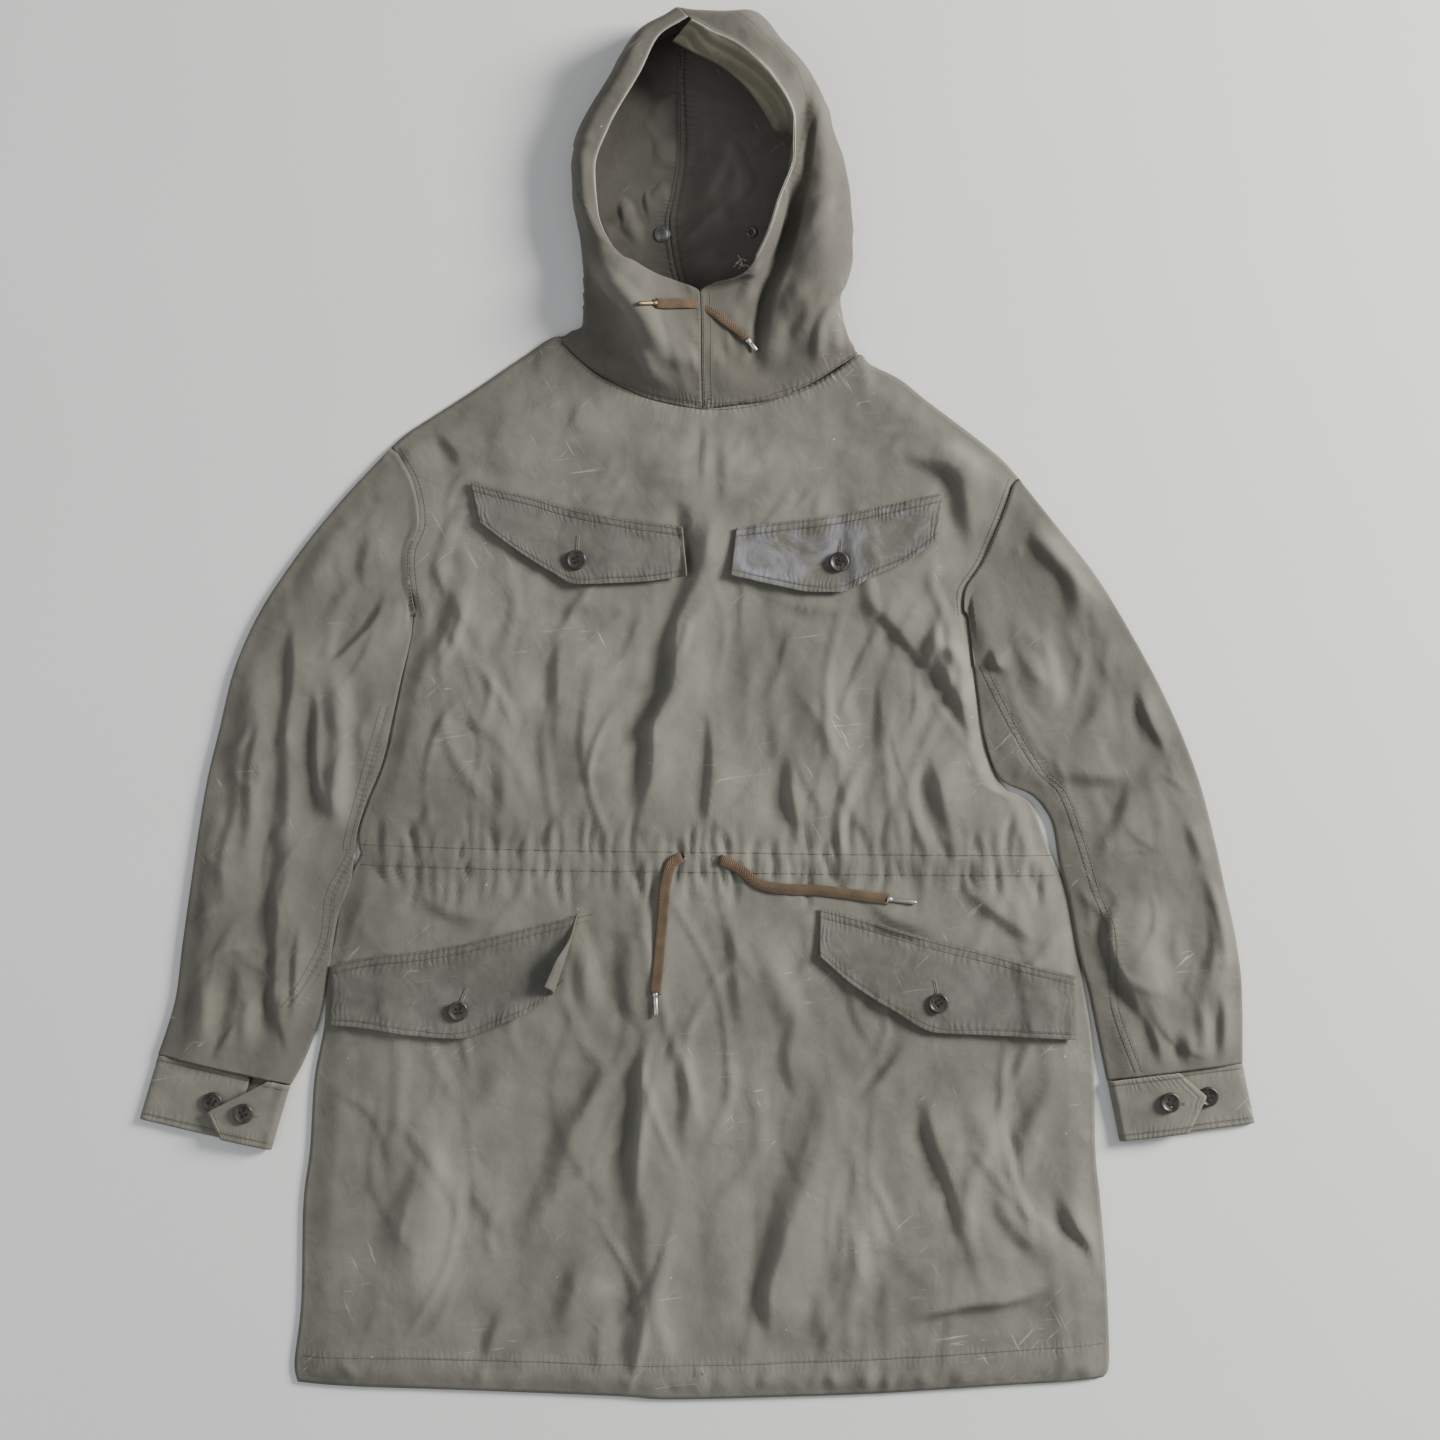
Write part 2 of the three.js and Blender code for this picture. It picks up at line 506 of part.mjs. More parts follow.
function makeFront() {
  const topEdge = flatCurve(joinCourses(outline.shoulderLeft, outline.neck, outline.shoulderRight));
  const waist = flatCurve(outline.waist);
  const upperPatch = panelPatch(topEdge, waist, flatCurve(joinCourses(outline.armholeLeft, outline.sideLeft)),
    flatCurve(joinCourses(outline.armholeRight, outline.sideRight)));
  const lowerPatch = panelPatch(waist, flatCurve(outline.hem), flatCurve(outline.skirtLeft),
    flatCurve(outline.skirtRight));
  const pointAt = (patch, a, b, fromEnd, ripple) => {
    const [x, y] = patch(a, b);
    const fromEdge = Math.min(a * panelWidth, (1 - a) * panelWidth, fromEnd);
    const loft = (panelLoft + reliefAt(x, y, frontFolds) + ripple) * smooth(fromEdge / edgeFade);
    return new THREE.Vector3(x, y, Math.max(panelRest, panelRest + loft));
  };
  const rowOf = (patch, b, fromEnd, columns, ripple = () => 0) => Array.from({ length: columns + 1 },
    (_, k) => pointAt(patch, k / columns, b, fromEnd, ripple(k)));
  const rows = [];
  for (let r = 0; r <= upperRowCount; r += 1) {
    const b = (r / upperRowCount) * (1 - waistReach / upperHeight);
    rows.push(rowOf(upperPatch, b, b * upperHeight, frontColumns));
  }
  gather.offsets.forEach((offset, r) => {
    const ripple = (k) => {
      const swing = Math.sin(gather.quickSwing * k) * Math.sin(gather.slowSwing * k + 1);
      const size = gather.evenShare + gather.unevenShare * swing;
      return gather.height * gather.strengths[r] * size * (k % 2 ? -1 : 1);
    };
    const [patch, b] = offset >= 0
      ? [upperPatch, 1 - offset / upperHeight]
      : [lowerPatch, -offset / lowerHeight];
    rows.push(rowOf(patch, b, edgeFade, 2 * gather.count, ripple));
  });
  for (let r = 0; r <= lowerRowCount; r += 1) {
    const b = waistReach / lowerHeight + (r / lowerRowCount) * (1 - waistReach / lowerHeight);
    rows.push(rowOf(lowerPatch, b, (1 - b) * lowerHeight + hemHold, frontColumns));
  }
  return add('body_front', sheetSolid(rows, lowered(rows, frontWall)), poplin);
}

function makeBack() {
  const down = (course, steps) => flatCurve(course).getSpacedPoints(steps).slice(1);
  const up = (course, steps) => flatCurve([...course].reverse()).getSpacedPoints(steps).slice(1);
  const ring = [
    ...down(outline.armholeLeft, armholeSteps), ...down(outline.sideLeft, backSteps.side),
    ...down(outline.skirtLeft, backSteps.skirt), ...down(outline.hem, backSteps.hem),
    ...up(outline.skirtRight, backSteps.skirt), ...up(outline.sideRight, backSteps.side),
    ...up(outline.armholeRight, armholeSteps), ...up(outline.shoulderRight, backSteps.shoulder),
    ...down(outline.backNeck, backSteps.neck), ...up(outline.shoulderLeft, backSteps.shoulder),
  ];
  const geometry = new THREE.ExtrudeGeometry(new THREE.Shape(ring), { depth: backWall, bevelEnabled: false });
  return add('body_back', geometry, poplin);
}

// A flattened tube. Each ring runs along the upper layer from outer to inner edge and back underneath.
// At the armhole the upper layer laps over the front and the lower layer meets the back.
function makeSleeve(name, table, armhole, folds, outward, landing) {
  const hole = flatCurve(armhole);
  const column = (key, axis) => table.map((row) => row[key][axis]);
  const tables = [column('outer', 0), column('outer', 1), column('inner', 0), column('inner', 1)];
  const outerRings = [];
  const innerRings = [];
  for (let r = 0; r <= sleeveRowCount; r += 1) {
    const s = r / sleeveRowCount;
    const [ox, oy, ix, iy] = tables.map((values) => between(values, s));
    const bow = 1 - smooth(s / sleeveBowShare);
    const acrossX = (ix - ox) / Math.hypot(ix - ox, iy - oy);
    const acrossY = (iy - oy) / Math.hypot(ix - ox, iy - oy);
    const place = (t) => {
      const h = hole.getPointAt(t);
      const [h0, h1] = [hole.getPointAt(0), hole.getPointAt(1)];
      return [ox + t * (ix - ox) + bow * (h.x - h0.x - t * (h1.x - h0.x)),
        oy + t * (iy - oy) + bow * (h.y - h0.y - t * (h1.y - h0.y))];
    };
    const upperOuter = [];
    const upperInner = [];
    const lowerOuter = [];
    const lowerInner = [];
    for (let k = 0; k <= armholeSteps; k += 1) {
      const t = k / armholeSteps;
      let [x, y] = place(t);
      const rise = smooth(Math.min(t, 1 - t) / sleeveEdgeShare);
      const inset = k === 0 ? 1 : k === armholeSteps ? -1 : 0;
      if (k === armholeSteps) {
        x += bow * outward * underarmGap - (1 - bow) * acrossX * underarmGap;
        y -= (1 - bow) * acrossY * underarmGap;
      }
      const clear = r === 0 ? outward * seamGap : 0;
      const lap = r === 0 && inset === 0 ? -outward * sleeveLap : clear;
      let z = sleeveRest + Math.max(0, (sleeveLoft + reliefAt(x, y, folds)) * rise);
      if (r <= sleeveLappedRows) {
        const under = landing(x + lap, y, restReach);
        if (under > 0) z = Math.max(z, under + lapGap + sleeveWall);
      }
      upperOuter.push(new THREE.Vector3(x + lap, y, z));
      upperInner.push(new THREE.Vector3(x + lap + inset * sleeveWall * acrossX,
        y + inset * sleeveWall * acrossY, z - sleeveWall));
      lowerOuter.push(new THREE.Vector3(x + clear, y, 0));
      lowerInner.push(new THREE.Vector3(x + clear + inset * sleeveWall * acrossX,
        y + inset * sleeveWall * acrossY, sleeveWall));
    }
    outerRings.push([...upperOuter, ...lowerOuter.reverse()]);
    innerRings.push([...upperInner, ...lowerInner.reverse()]);
  }
  return add(name, tubeSolid(outerRings, innerRings), poplin);
}

// Rows of one hood half, from neck to crown; each row has its rim band in its last columns
function hoodRows(table, apart, landing) {
  const places = [];
  for (let k = 0; k < table.length; k += k < throatRow ? 0.5 : 1) places.push(k / (table.length - 1));
  const rows = [];
  for (const v of places) {
    const stations = hoodColumns.map((_, column) => new THREE.Vector3(...[0, 1, 2].map(
      (axis) => between(table.map((section) => section[column][axis] ?? 0), v))));
    const curve = new THREE.CatmullRomCurve3(stations, false, 'centripetal');
    curve.arcLengthDivisions = hoodGrid.curveSteps;
    const share = rimWidth / curve.getLength();
    const shares = [];
    for (let k = 0; k < hoodGrid.main; k += 1) shares.push((1 - share) * k / hoodGrid.main);
    for (let k = 0; k <= hoodGrid.band; k += 1) shares.push(1 - share + share * k / hoodGrid.band);
    rows.push(shares.map((u, k) => {
      const p = curve.getPointAt(u);
      const onFront = k > hoodGrid.frontStart ? landing(p.x, p.y, restReach) : -Infinity;
      return new THREE.Vector3(p.x + apart, p.y, Math.max(0, p.z, onFront + lapGap + hoodWall));
    }));
  }
  return rows;
}

function makeHoodHalf(name, facingName, table, side, landing) {
  const rows = hoodRows(table, -side * seamGap, landing);
  const firstRimRow = 2 * throatRow + 1;
  const lastColumn = hoodGrid.main + hoodGrid.band;
  const onSeam = (r, c) => c === 0 || (c === lastColumn && r < firstRimRow);
  const crownRow = rows.length - 1;
  const half = add(name, sheetSolid(rows, movedIn(rows, hoodWall, side, onSeam, crownRow)), poplin);
  const band = (depth) => movedIn(rows, depth, side, onSeam, crownRow).slice(firstRimRow + 1, -1)
    .map((row) => row.slice(hoodGrid.main));
  add(facingName, sheetSolid(band(hoodWall + lapGap), band(hoodWall * 2 + lapGap)), poplin);
  return half;
}

function makeFlap(name, flap, landing) {
  const across = (edge, axis) => flap.sections.map((section) => section[edge][axis]);
  const columns = (flap.sections.length - 1) * 2;
  const rows = [];
  for (let r = 0; r <= flapRowCount; r += 1) {
    const v = r / flapRowCount;
    rows.push(Array.from({ length: columns + 1 }, (_, k) => {
      const u = k / columns;
      const x = between(across(0, 0), u) * (1 - v) + between(across(1, 0), u) * v;
      const y = between(across(0, 1), u) * (1 - v) + between(across(1, 1), u) * v;
      const z = landing(x, y, flapReach) + seamGap + flapWall + flap.lift * v * v;
      return new THREE.Vector3(x, y, z);
    }));
  }
  return add(name, sheetSolid(rows, lowered(rows, flapWall)), flapPoplin);
}

// A cuff is one strip: under the point, round the outer edge, along the floor, round the inner edge and
// back on top to its pointed end
function makeCuff(name, cuff) {
  const [ax, ay] = cuff.start;
  const across = [cuff.finish[0] - ax, cuff.finish[1] - ay];
  const side = Math.sign(across[0]);
  const [lastAcross] = cuffSection[cuffSection.length - 1];
  const rows = [];
  for (let r = 0; r <= cuffRowCount; r += 1) {
    const v = r / cuffRowCount;
    const reach = v < cuff.tipDown
      ? THREE.MathUtils.lerp(cuff.upperCorner, cuff.tipAcross, v / cuff.tipDown)
      : THREE.MathUtils.lerp(cuff.tipAcross, cuff.lowerCorner, (v - cuff.tipDown) / (1 - cuff.tipDown));
    const stations = [...cuffSection, [(lastAcross + reach) / 2, cuffLayer.bridge], [reach, cuffLayer.point]];
    rows.push(stations.map(([u, z]) => new THREE.Vector3(
      ax + across[0] * u + cuff.down[0] * v, ay + across[1] * u + cuff.down[1] * v - seamGap, z)));
  }
  return add(name, sheetSolid(rows, movedIn(rows, cuffWall, side)), poplin);
}

function makeButton(name, [x, y], z) {
  const { radius, height, sides, edge, rim, well, wellDepth } = button;
  const profile = [[0, 0], [radius - edge, 0], [radius, edge], [radius, height - edge],
    [radius - rim, height], [radius - well, height - wellDepth], [0, height - wellDepth]];
  const geometry = new THREE.LatheGeometry(profile.map(([r, h]) => new THREE.Vector2(r, h)), sides);
  geometry.rotateX(Math.PI / 2);
  geometry.translate(x, y, z);
  return add(name, geometry, horn);
}

function makeSnap(name, { place: [x, y], radius, height }, z) {
  const { sides, edge, shoulder } = snapShape;
  const profile = [[0, 0], [radius, 0], [radius, height * edge],
    [radius * shoulder, height * shoulder], [0, height]];
  const geometry = new THREE.LatheGeometry(profile.map(([r, h]) => new THREE.Vector2(r, h)), sides);
  geometry.rotateX(Math.PI / 2);
  geometry.translate(x, y, z);
  return add(name, geometry, steel);
}

function makeLace(name, { course, tip }, landing) {
  const lift = seamGap + lace.coreRadius;
  const plan = flatCurve(course);
  const stations = plan.getSpacedPoints(Math.ceil(plan.getLength() / lace.step)).map(
    ({ x, y }) => new THREE.Vector3(x, y, landing(x, y, lace.width) + lift));
  const path = new THREE.CatmullRomCurve3(stations);
  const core = new THREE.Shape().absarc(0, 0, lace.coreRadius, 0, 2 * Math.PI);
  const steps = Math.ceil(lace.stepsPerStation * stations.length);
  add(`lace_${name}`, new THREE.ExtrudeGeometry(core, {
    steps, curveSegments: lace.curveSegments, extrudePath: path, bevelEnabled: false }), braid);
  const last = stations[stations.length - 1];
  const heading = new THREE.Vector2(tip[0] - last.x, tip[1] - last.y).normalize();
  const foot = new THREE.Vector3(last.x + heading.x, last.y + heading.y, last.z);
  const tagLift = seamGap + tag.radius;
  const tipZ = Math.max(landing(tip[0], tip[1], tag.tipReach) + tagLift, last.z - tag.mostDrop);
  foot.z = Math.max(foot.z, landing(foot.x, foot.y, tag.footReach) + tagLift);
  const tagLine = new THREE.LineCurve3(foot, new THREE.Vector3(tip[0], tip[1], tipZ));
  const disc = new THREE.Shape().absarc(0, 0, tag.radius, 0, 2 * Math.PI);
  add(`tag_${name}`, new THREE.ExtrudeGeometry(disc, {
    steps: 1, curveSegments: tag.curveSegments, extrudePath: tagLine, bevelEnabled: false }), steel);
}

const front = makeFront();
makeBack();
const onFront = landingOn([front]);
makeSleeve('sleeve_left', leftSleeve, outline.armholeLeft, leftSleeveFolds, -1, onFront);
makeSleeve('sleeve_right', rightSleeve, outline.armholeRight, rightSleeveFolds, 1, onFront);
const hoodLeft = makeHoodHalf('hood_left', 'hood_facing_left', leftHood, 1, onFront);
const hoodRight = makeHoodHalf('hood_right', 'hood_facing_right', rightHood, -1, onFront);
const flapMeshes = Object.entries(flaps).map(([name, flap]) => makeFlap(name, flap, onFront));
const cuffMeshes = Object.entries(cuffs).map(([name, cuff]) => makeCuff(name, cuff));

const onFlaps = landingOn(flapMeshes);
const onCuffs = landingOn(cuffMeshes);
const onHood = landingOn([hoodLeft, hoodRight]);
for (const [name, place] of Object.entries(flapButtons)) {
  makeButton(name, place, onFlaps(...place, button.radius) + seamGap);
}
for (const [name, place] of Object.entries(cuffButtons)) {
  makeButton(name, place, onCuffs(...place, button.radius) + seamGap);
}
for (const [name, place] of Object.entries(spareButtons)) {
  makeButton(name, place, cuffLayer.under + seamGap);
}
for (const [name, snap] of Object.entries(snaps)) {
  makeSnap(name, snap, onHood(...snap.place, snap.radius) + seamGap);
}
for (const [name, route] of Object.entries(waistLaces)) makeLace(name, route, onFront);
for (const [name, route] of Object.entries(hoodLaces)) makeLace(name, route, onHood);

export default smock;
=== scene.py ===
import math
import random

import bmesh
import bpy
import numpy as np
from mathutils import Matrix, Vector, noise
from mathutils.bvhtree import BVHTree


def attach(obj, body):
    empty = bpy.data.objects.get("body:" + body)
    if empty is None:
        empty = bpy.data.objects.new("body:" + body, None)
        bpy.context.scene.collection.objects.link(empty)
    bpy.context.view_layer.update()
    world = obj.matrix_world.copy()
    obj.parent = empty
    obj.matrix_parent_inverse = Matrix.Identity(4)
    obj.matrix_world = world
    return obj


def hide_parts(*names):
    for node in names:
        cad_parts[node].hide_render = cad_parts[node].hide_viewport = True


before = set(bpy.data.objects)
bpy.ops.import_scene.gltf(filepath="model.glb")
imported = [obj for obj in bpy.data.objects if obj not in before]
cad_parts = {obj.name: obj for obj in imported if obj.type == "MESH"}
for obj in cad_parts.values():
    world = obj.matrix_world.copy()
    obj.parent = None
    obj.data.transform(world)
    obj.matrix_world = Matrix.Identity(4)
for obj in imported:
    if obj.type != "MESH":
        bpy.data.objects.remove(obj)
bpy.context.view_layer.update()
mm = 0.001
print("frame loaded")


# small helpers

def hexColour(code):
    # an sRGB hex value as a linear colour
    shares = [int(code[k:k + 2], 16) / 255 for k in (1, 3, 5)]
    return [s / 12.92 if s <= 0.04045 else ((s + 0.055) / 1.055) ** 2.4 for s in shares] + [1.0]


def addNode(tree, kind, settings=None, inputs=None, stops=()):
    # an input given as a node is linked to its first output; stops are the ends of a colour ramp
    made = tree.nodes.new(kind)
    for key, value in (settings or {}).items():
        setattr(made, key, value)
    for key, value in (inputs or {}).items():
        if isinstance(value, bpy.types.Node):
            value = value.outputs[0]
        if isinstance(value, bpy.types.NodeSocket):
            tree.links.new(value, made.inputs[key])
        else:
            made.inputs[key].default_value = value
    for k, (position, code) in enumerate(stops):
        made.color_ramp.elements[k].position = position
        made.color_ramp.elements[k].color = hexColour(code)
    return made


def newMaterial(name):
    made = bpy.data.materials.new(name)
    made.use_nodes = True
    tree = made.node_tree
    tree.nodes.clear()
    return made, tree


def smooth(t):
    s = np.clip(t, 0, 1)
    return s * s * (3 - 2 * s)


def between(values, t):
    # values between evenly spaced table rows, with no overshoot past them
    v = np.array(values, float)
    last = len(v) - 1
    k = np.minimum(last - 1, np.floor(t * last).astype(int))
    f = t * last - k
    rise = np.diff(v)
    before = np.concatenate([[rise[0]], rise])
    after = np.concatenate([rise, [rise[-1]]])
    agree = before * after > 0
    slope = np.where(agree, 2 * before * after / np.where(agree, before + after, 1), 0)
    hump = f * f * (3 - 2 * f)
    return (v[k] * (1 - hump) + v[k + 1] * hump
            + slope[k] * f * (1 - f) ** 2 - slope[k + 1] * f * f * (1 - f))


def betweenPlaces(points, t):
    # the same for a table of places, one coordinate at a time
    return np.stack([between([p[k] for p in points], t) for k in range(len(points[0]))], -1)


def curvePlaces(points, shares):
    # places on a smooth curve through the points, by their share of its length
    p = np.array(points, float)
    ends = np.vstack([p[:1], p, p[-1:]])
    t = np.linspace(0, len(p) - 1, 20 * (len(p) - 1) + 1)
    k = np.minimum(np.floor(t).astype(int), len(p) - 2)
    f = (t - k)[:, None]
    p0, p1, p2, p3 = ends[k], ends[k + 1], ends[k + 2], ends[k + 3]
    v0, v1 = (p2 - p0) / 2, (p3 - p1) / 2
    line = (2 * p1 - 2 * p2 + v0 + v1) * f ** 3 + (3 * p2 - 3 * p1 - 2 * v0 - v1) * f ** 2 + v0 * f + p1
    length = np.concatenate([[0], np.cumsum(np.linalg.norm(np.diff(line, axis=0), axis=1))])
    at = np.asarray(shares, float) * length[-1]
    return np.stack([np.interp(at, length, line[:, axis]) for axis in range(p.shape[1])], -1)


def lineLength(points):
    return float(np.linalg.norm(np.diff(np.array(points, float), axis=0), axis=1).sum())


def nearestOn(line, x, y):
    # distance to a polyline, its sign by side, and the length along it
    best = np.full(x.shape, np.inf)
    along = np.zeros(x.shape)
    side = np.ones(x.shape)
    passed = 0.0
    for (ax, ay), (bx, by) in zip(line[:-1], line[1:]):
        dx, dy = bx - ax, by - ay
        size = math.hypot(dx, dy) or 1e-9
        t = np.clip(((x - ax) * dx + (y - ay) * dy) / size ** 2, 0, 1)
        away = np.hypot(x - ax - t * dx, y - ay - t * dy)
        closer = away < best
        best = np.where(closer, away, best)
        along = np.where(closer, passed + t * size, along)
        side = np.where(closer, np.sign((x - ax) * dy - (y - ay) * dx), side)
        passed += size
    return best, side, along, passed


lightFrom = (0.9, 0.43)  # the picture's light comes from the right and a little from the hood end


def foldRelief(x, y, folds):
    # Height in mm that a table of folds adds. A positive row is a soft ridge. A negative row is the dark
    # side of a lap: the cloth climbs steeply towards the light there and runs out slowly on both sides.
    # A row that ends in "hollow" is an even trough.
    total = np.zeros(x.shape)
    for course, width, height, *kind in folds:
        lap = height < 0 and not kind
        spread = 3.2 * width if lap else width
        line = curvePlaces(course, np.linspace(0, 1, 9 if len(course) < 4 else 17))
        low, high = line.min(0) - spread, line.max(0) + spread
        near = (x > low[0]) & (x < high[0]) & (y > low[1]) & (y < high[1])
        if not near.any():
            continue
        away, side, along, size = nearestOn(line, x[near], y[near])
        fade = min(48, 0.42 * size)
        taper = smooth(along / fade) * smooth((size - along) / fade)
        if lap:
            heading = line[-1] - line[0]
            toLight = 1 if lightFrom[0] * heading[1] - lightFrom[1] * heading[0] > 0 else -1
            # the dark side wavers and changes its steepness on its way
            phase = along / 31 + course[0][0]
            sway = 0.12 * np.sin(phase) + 0.07 * np.sin(2.3 * phase)
            steep = 0.85 + 0.4 * np.sin(0.61 * phase + 1)
            taper = taper * (0.82 + 0.18 * np.sin(0.8 * phase))
            shift = away * side * toLight / width + sway
            climb = smooth(shift / steep + 0.5) - 0.42
            runOut = np.where(shift > 0, 1 - smooth((shift - 0.5) / 2.6), 1 - smooth((-shift - 0.5) / 1.7))
            total[near] -= height * taper * climb * runOut
        else:
            bowl = np.clip(1 - (away / width) ** 2, 0, None) ** 2
            total[near] += height * taper * bowl
    return total


def looseCreases(seed, count, area, heading, sizes, height):
    # many small uneven creases, for cloth that has been worn soft; heading is in degrees
    chance = random.Random(seed)
    folds = []
    for _ in range(count):
        x, y = chance.uniform(*area[0]), chance.uniform(*area[1])
        turn = math.radians(chance.gauss(heading, 26))
        size = chance.uniform(*sizes)
        bend = chance.uniform(-0.22, 0.22) * size
        dx, dy = math.cos(turn) * size / 2, math.sin(turn) * size / 2
        course = [(x - dx, y - dy), (x - dy / size * bend * 2, y + dx / size * bend * 2), (x + dx, y + dy)]
        width = chance.uniform(5, 11)
        folds.append((course, width, chance.choice([-1, 1]) * chance.uniform(0.4, 1) * height))
    return folds


def ripples(x, y, spacing, seed):
    # soft noise in -1..1; spacing is the size of a swell across and along, in mm
    shift = Vector((seed * 7.3, seed * 3.1, seed * 1.7))
    return np.array([noise.noise(Vector((a / spacing[0], b / spacing[1], 0)) + shift)
                     for a, b in zip(x.ravel(), y.ravel())]).reshape(x.shape)


def swellOf(x, y, rows, seed):
    # ripples of several sizes added up; a row is their height and their spacing, in mm
    return sum(height * ripples(x, y, spacing, seed + k) for k, (height, spacing) in enumerate(rows))


def addObject(name, data):
    # a named object in the scene; a bmesh becomes its mesh and is freed
    if isinstance(data, bmesh.types.BMesh):
        mesh = bpy.data.meshes.new(name)
        data.to_mesh(mesh)
        data.free()
        data = mesh
    made = bpy.data.objects.new(name, data)
    bpy.context.scene.collection.objects.link(made)
    return made


def gridPiece(name, columns, rows, place, closed=False):
    # a grid whose points are laid at place(a, b), in mm; a runs across and b down, both from 0 to 1
    bm = bmesh.new()
    bmesh.ops.create_grid(bm, x_segments=columns, y_segments=rows, size=0.5)
    flat = np.array([v.co for v in bm.verts])
    a, b = flat[:, 0] + 0.5, 0.5 - flat[:, 1]
    where = place(a, b)
    for vert, spot in zip(bm.verts, where * mm):
        vert.co = spot
    if closed:
        bmesh.ops.remove_doubles(bm, verts=bm.verts, dist=1e-6)
        bmesh.ops.recalc_face_normals(bm, faces=bm.faces)
    for face in bm.faces:
        face.smooth = True
    return addObject(name, bm), a, b, where


def spinPiece(name, profile, steps):
    # a shape turned round the z axis from its outline of radii and heights, in mm
    bm = bmesh.new()
    rim = [bm.verts.new((r, 0, h)) for r, h in profile]
    outline = [bm.edges.new(pair) for pair in zip(rim[:-1], rim[1:])]
    bmesh.ops.spin(bm, geom=rim + outline, cent=(0, 0, 0), axis=(0, 0, 1), dvec=(0, 0, 0),
                   angle=2 * math.pi, steps=steps, use_merge=True)
    bmesh.ops.remove_doubles(bm, verts=bm.verts, dist=0.01)
    bmesh.ops.recalc_face_normals(bm, faces=bm.faces)
    for face in bm.faces:
        face.smooth = True
    return addObject(name, bm)


def placeMesh(piece, matrix):
    # from mm at the origin to metres in place
    piece.data.transform(Matrix.Scale(mm, 4) @ matrix)


def addRod(bm, segments, radius, length, matrix):
    # a short round rod, for a drill or a strand of thread
    bmesh.ops.create_cone(bm, cap_ends=True, segments=segments, radius1=radius, radius2=radius,
                          depth=length, matrix=matrix)


def setAttribute(piece, name, values):
    # one number or one vector for each point
    values = np.asarray(values, np.float32)
    kind, key = ("FLOAT_VECTOR", "vector") if values.ndim == 2 else ("FLOAT", "value")
    piece.data.attributes.new(name, kind, "POINT").data.foreach_set(key, values.ravel())


farSeam = 60.0  # mm, past which no seam marks the cloth


def seamFields(x, y, seams):
    # for the material: metres along the nearest seam, metres from it, and how much the cloth puckers there
    found = np.zeros((len(x), 3))
    nearest = np.full(x.shape, farSeam)
    for course, strength in seams:
        line = curvePlaces(course, np.linspace(0, 1, 40))
        away, _, along, _ = nearestOn(line, x, y)
        closer = away < nearest
        nearest = np.where(closer, away, nearest)
        found[closer] = np.stack([along * mm, away * mm, np.full(x.shape, strength)], -1)[closer]
    found[nearest >= farSeam] = (0, farSeam * mm, 0)
    return found


def wall(piece, thickness):
    made = piece.modifiers.new("cloth wall", "SOLIDIFY")
    made.thickness = thickness * mm
    made.offset = -1
    made.use_even_offset = False


def finishPiece(piece, material, slotName, *nodes):
    piece.data.materials.append(material)
    if nodes:
        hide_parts(*nodes)
    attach(piece, "root")


def treeOf(*pieces):
    joined = bmesh.new()
    for piece in pieces:
        joined.from_mesh(piece.data)
    tree = BVHTree.FromBMesh(joined)
    joined.free()
    return tree


def heightOn(tree, x, y, reach=0, otherwise=0.0):
    # top of the pieces in a tree over a place, and round it within a reach, all in mm
    top = None
    spots = [(x, y)]
    for k in range(8 if reach else 0):
        spots.append((x + reach * math.cos(k * math.pi / 4), y + reach * math.sin(k * math.pi / 4)))
    for sx, sy in spots:
        hit = tree.ray_cast(Vector((sx * mm, sy * mm, 0.3)), Vector((0, 0, -1)))[0]
        if hit is not None:
            top = hit.z / mm if top is None else max(top, hit.z / mm)
    return otherwise if top is None else top


# cloth, thread, horn, braid and metal

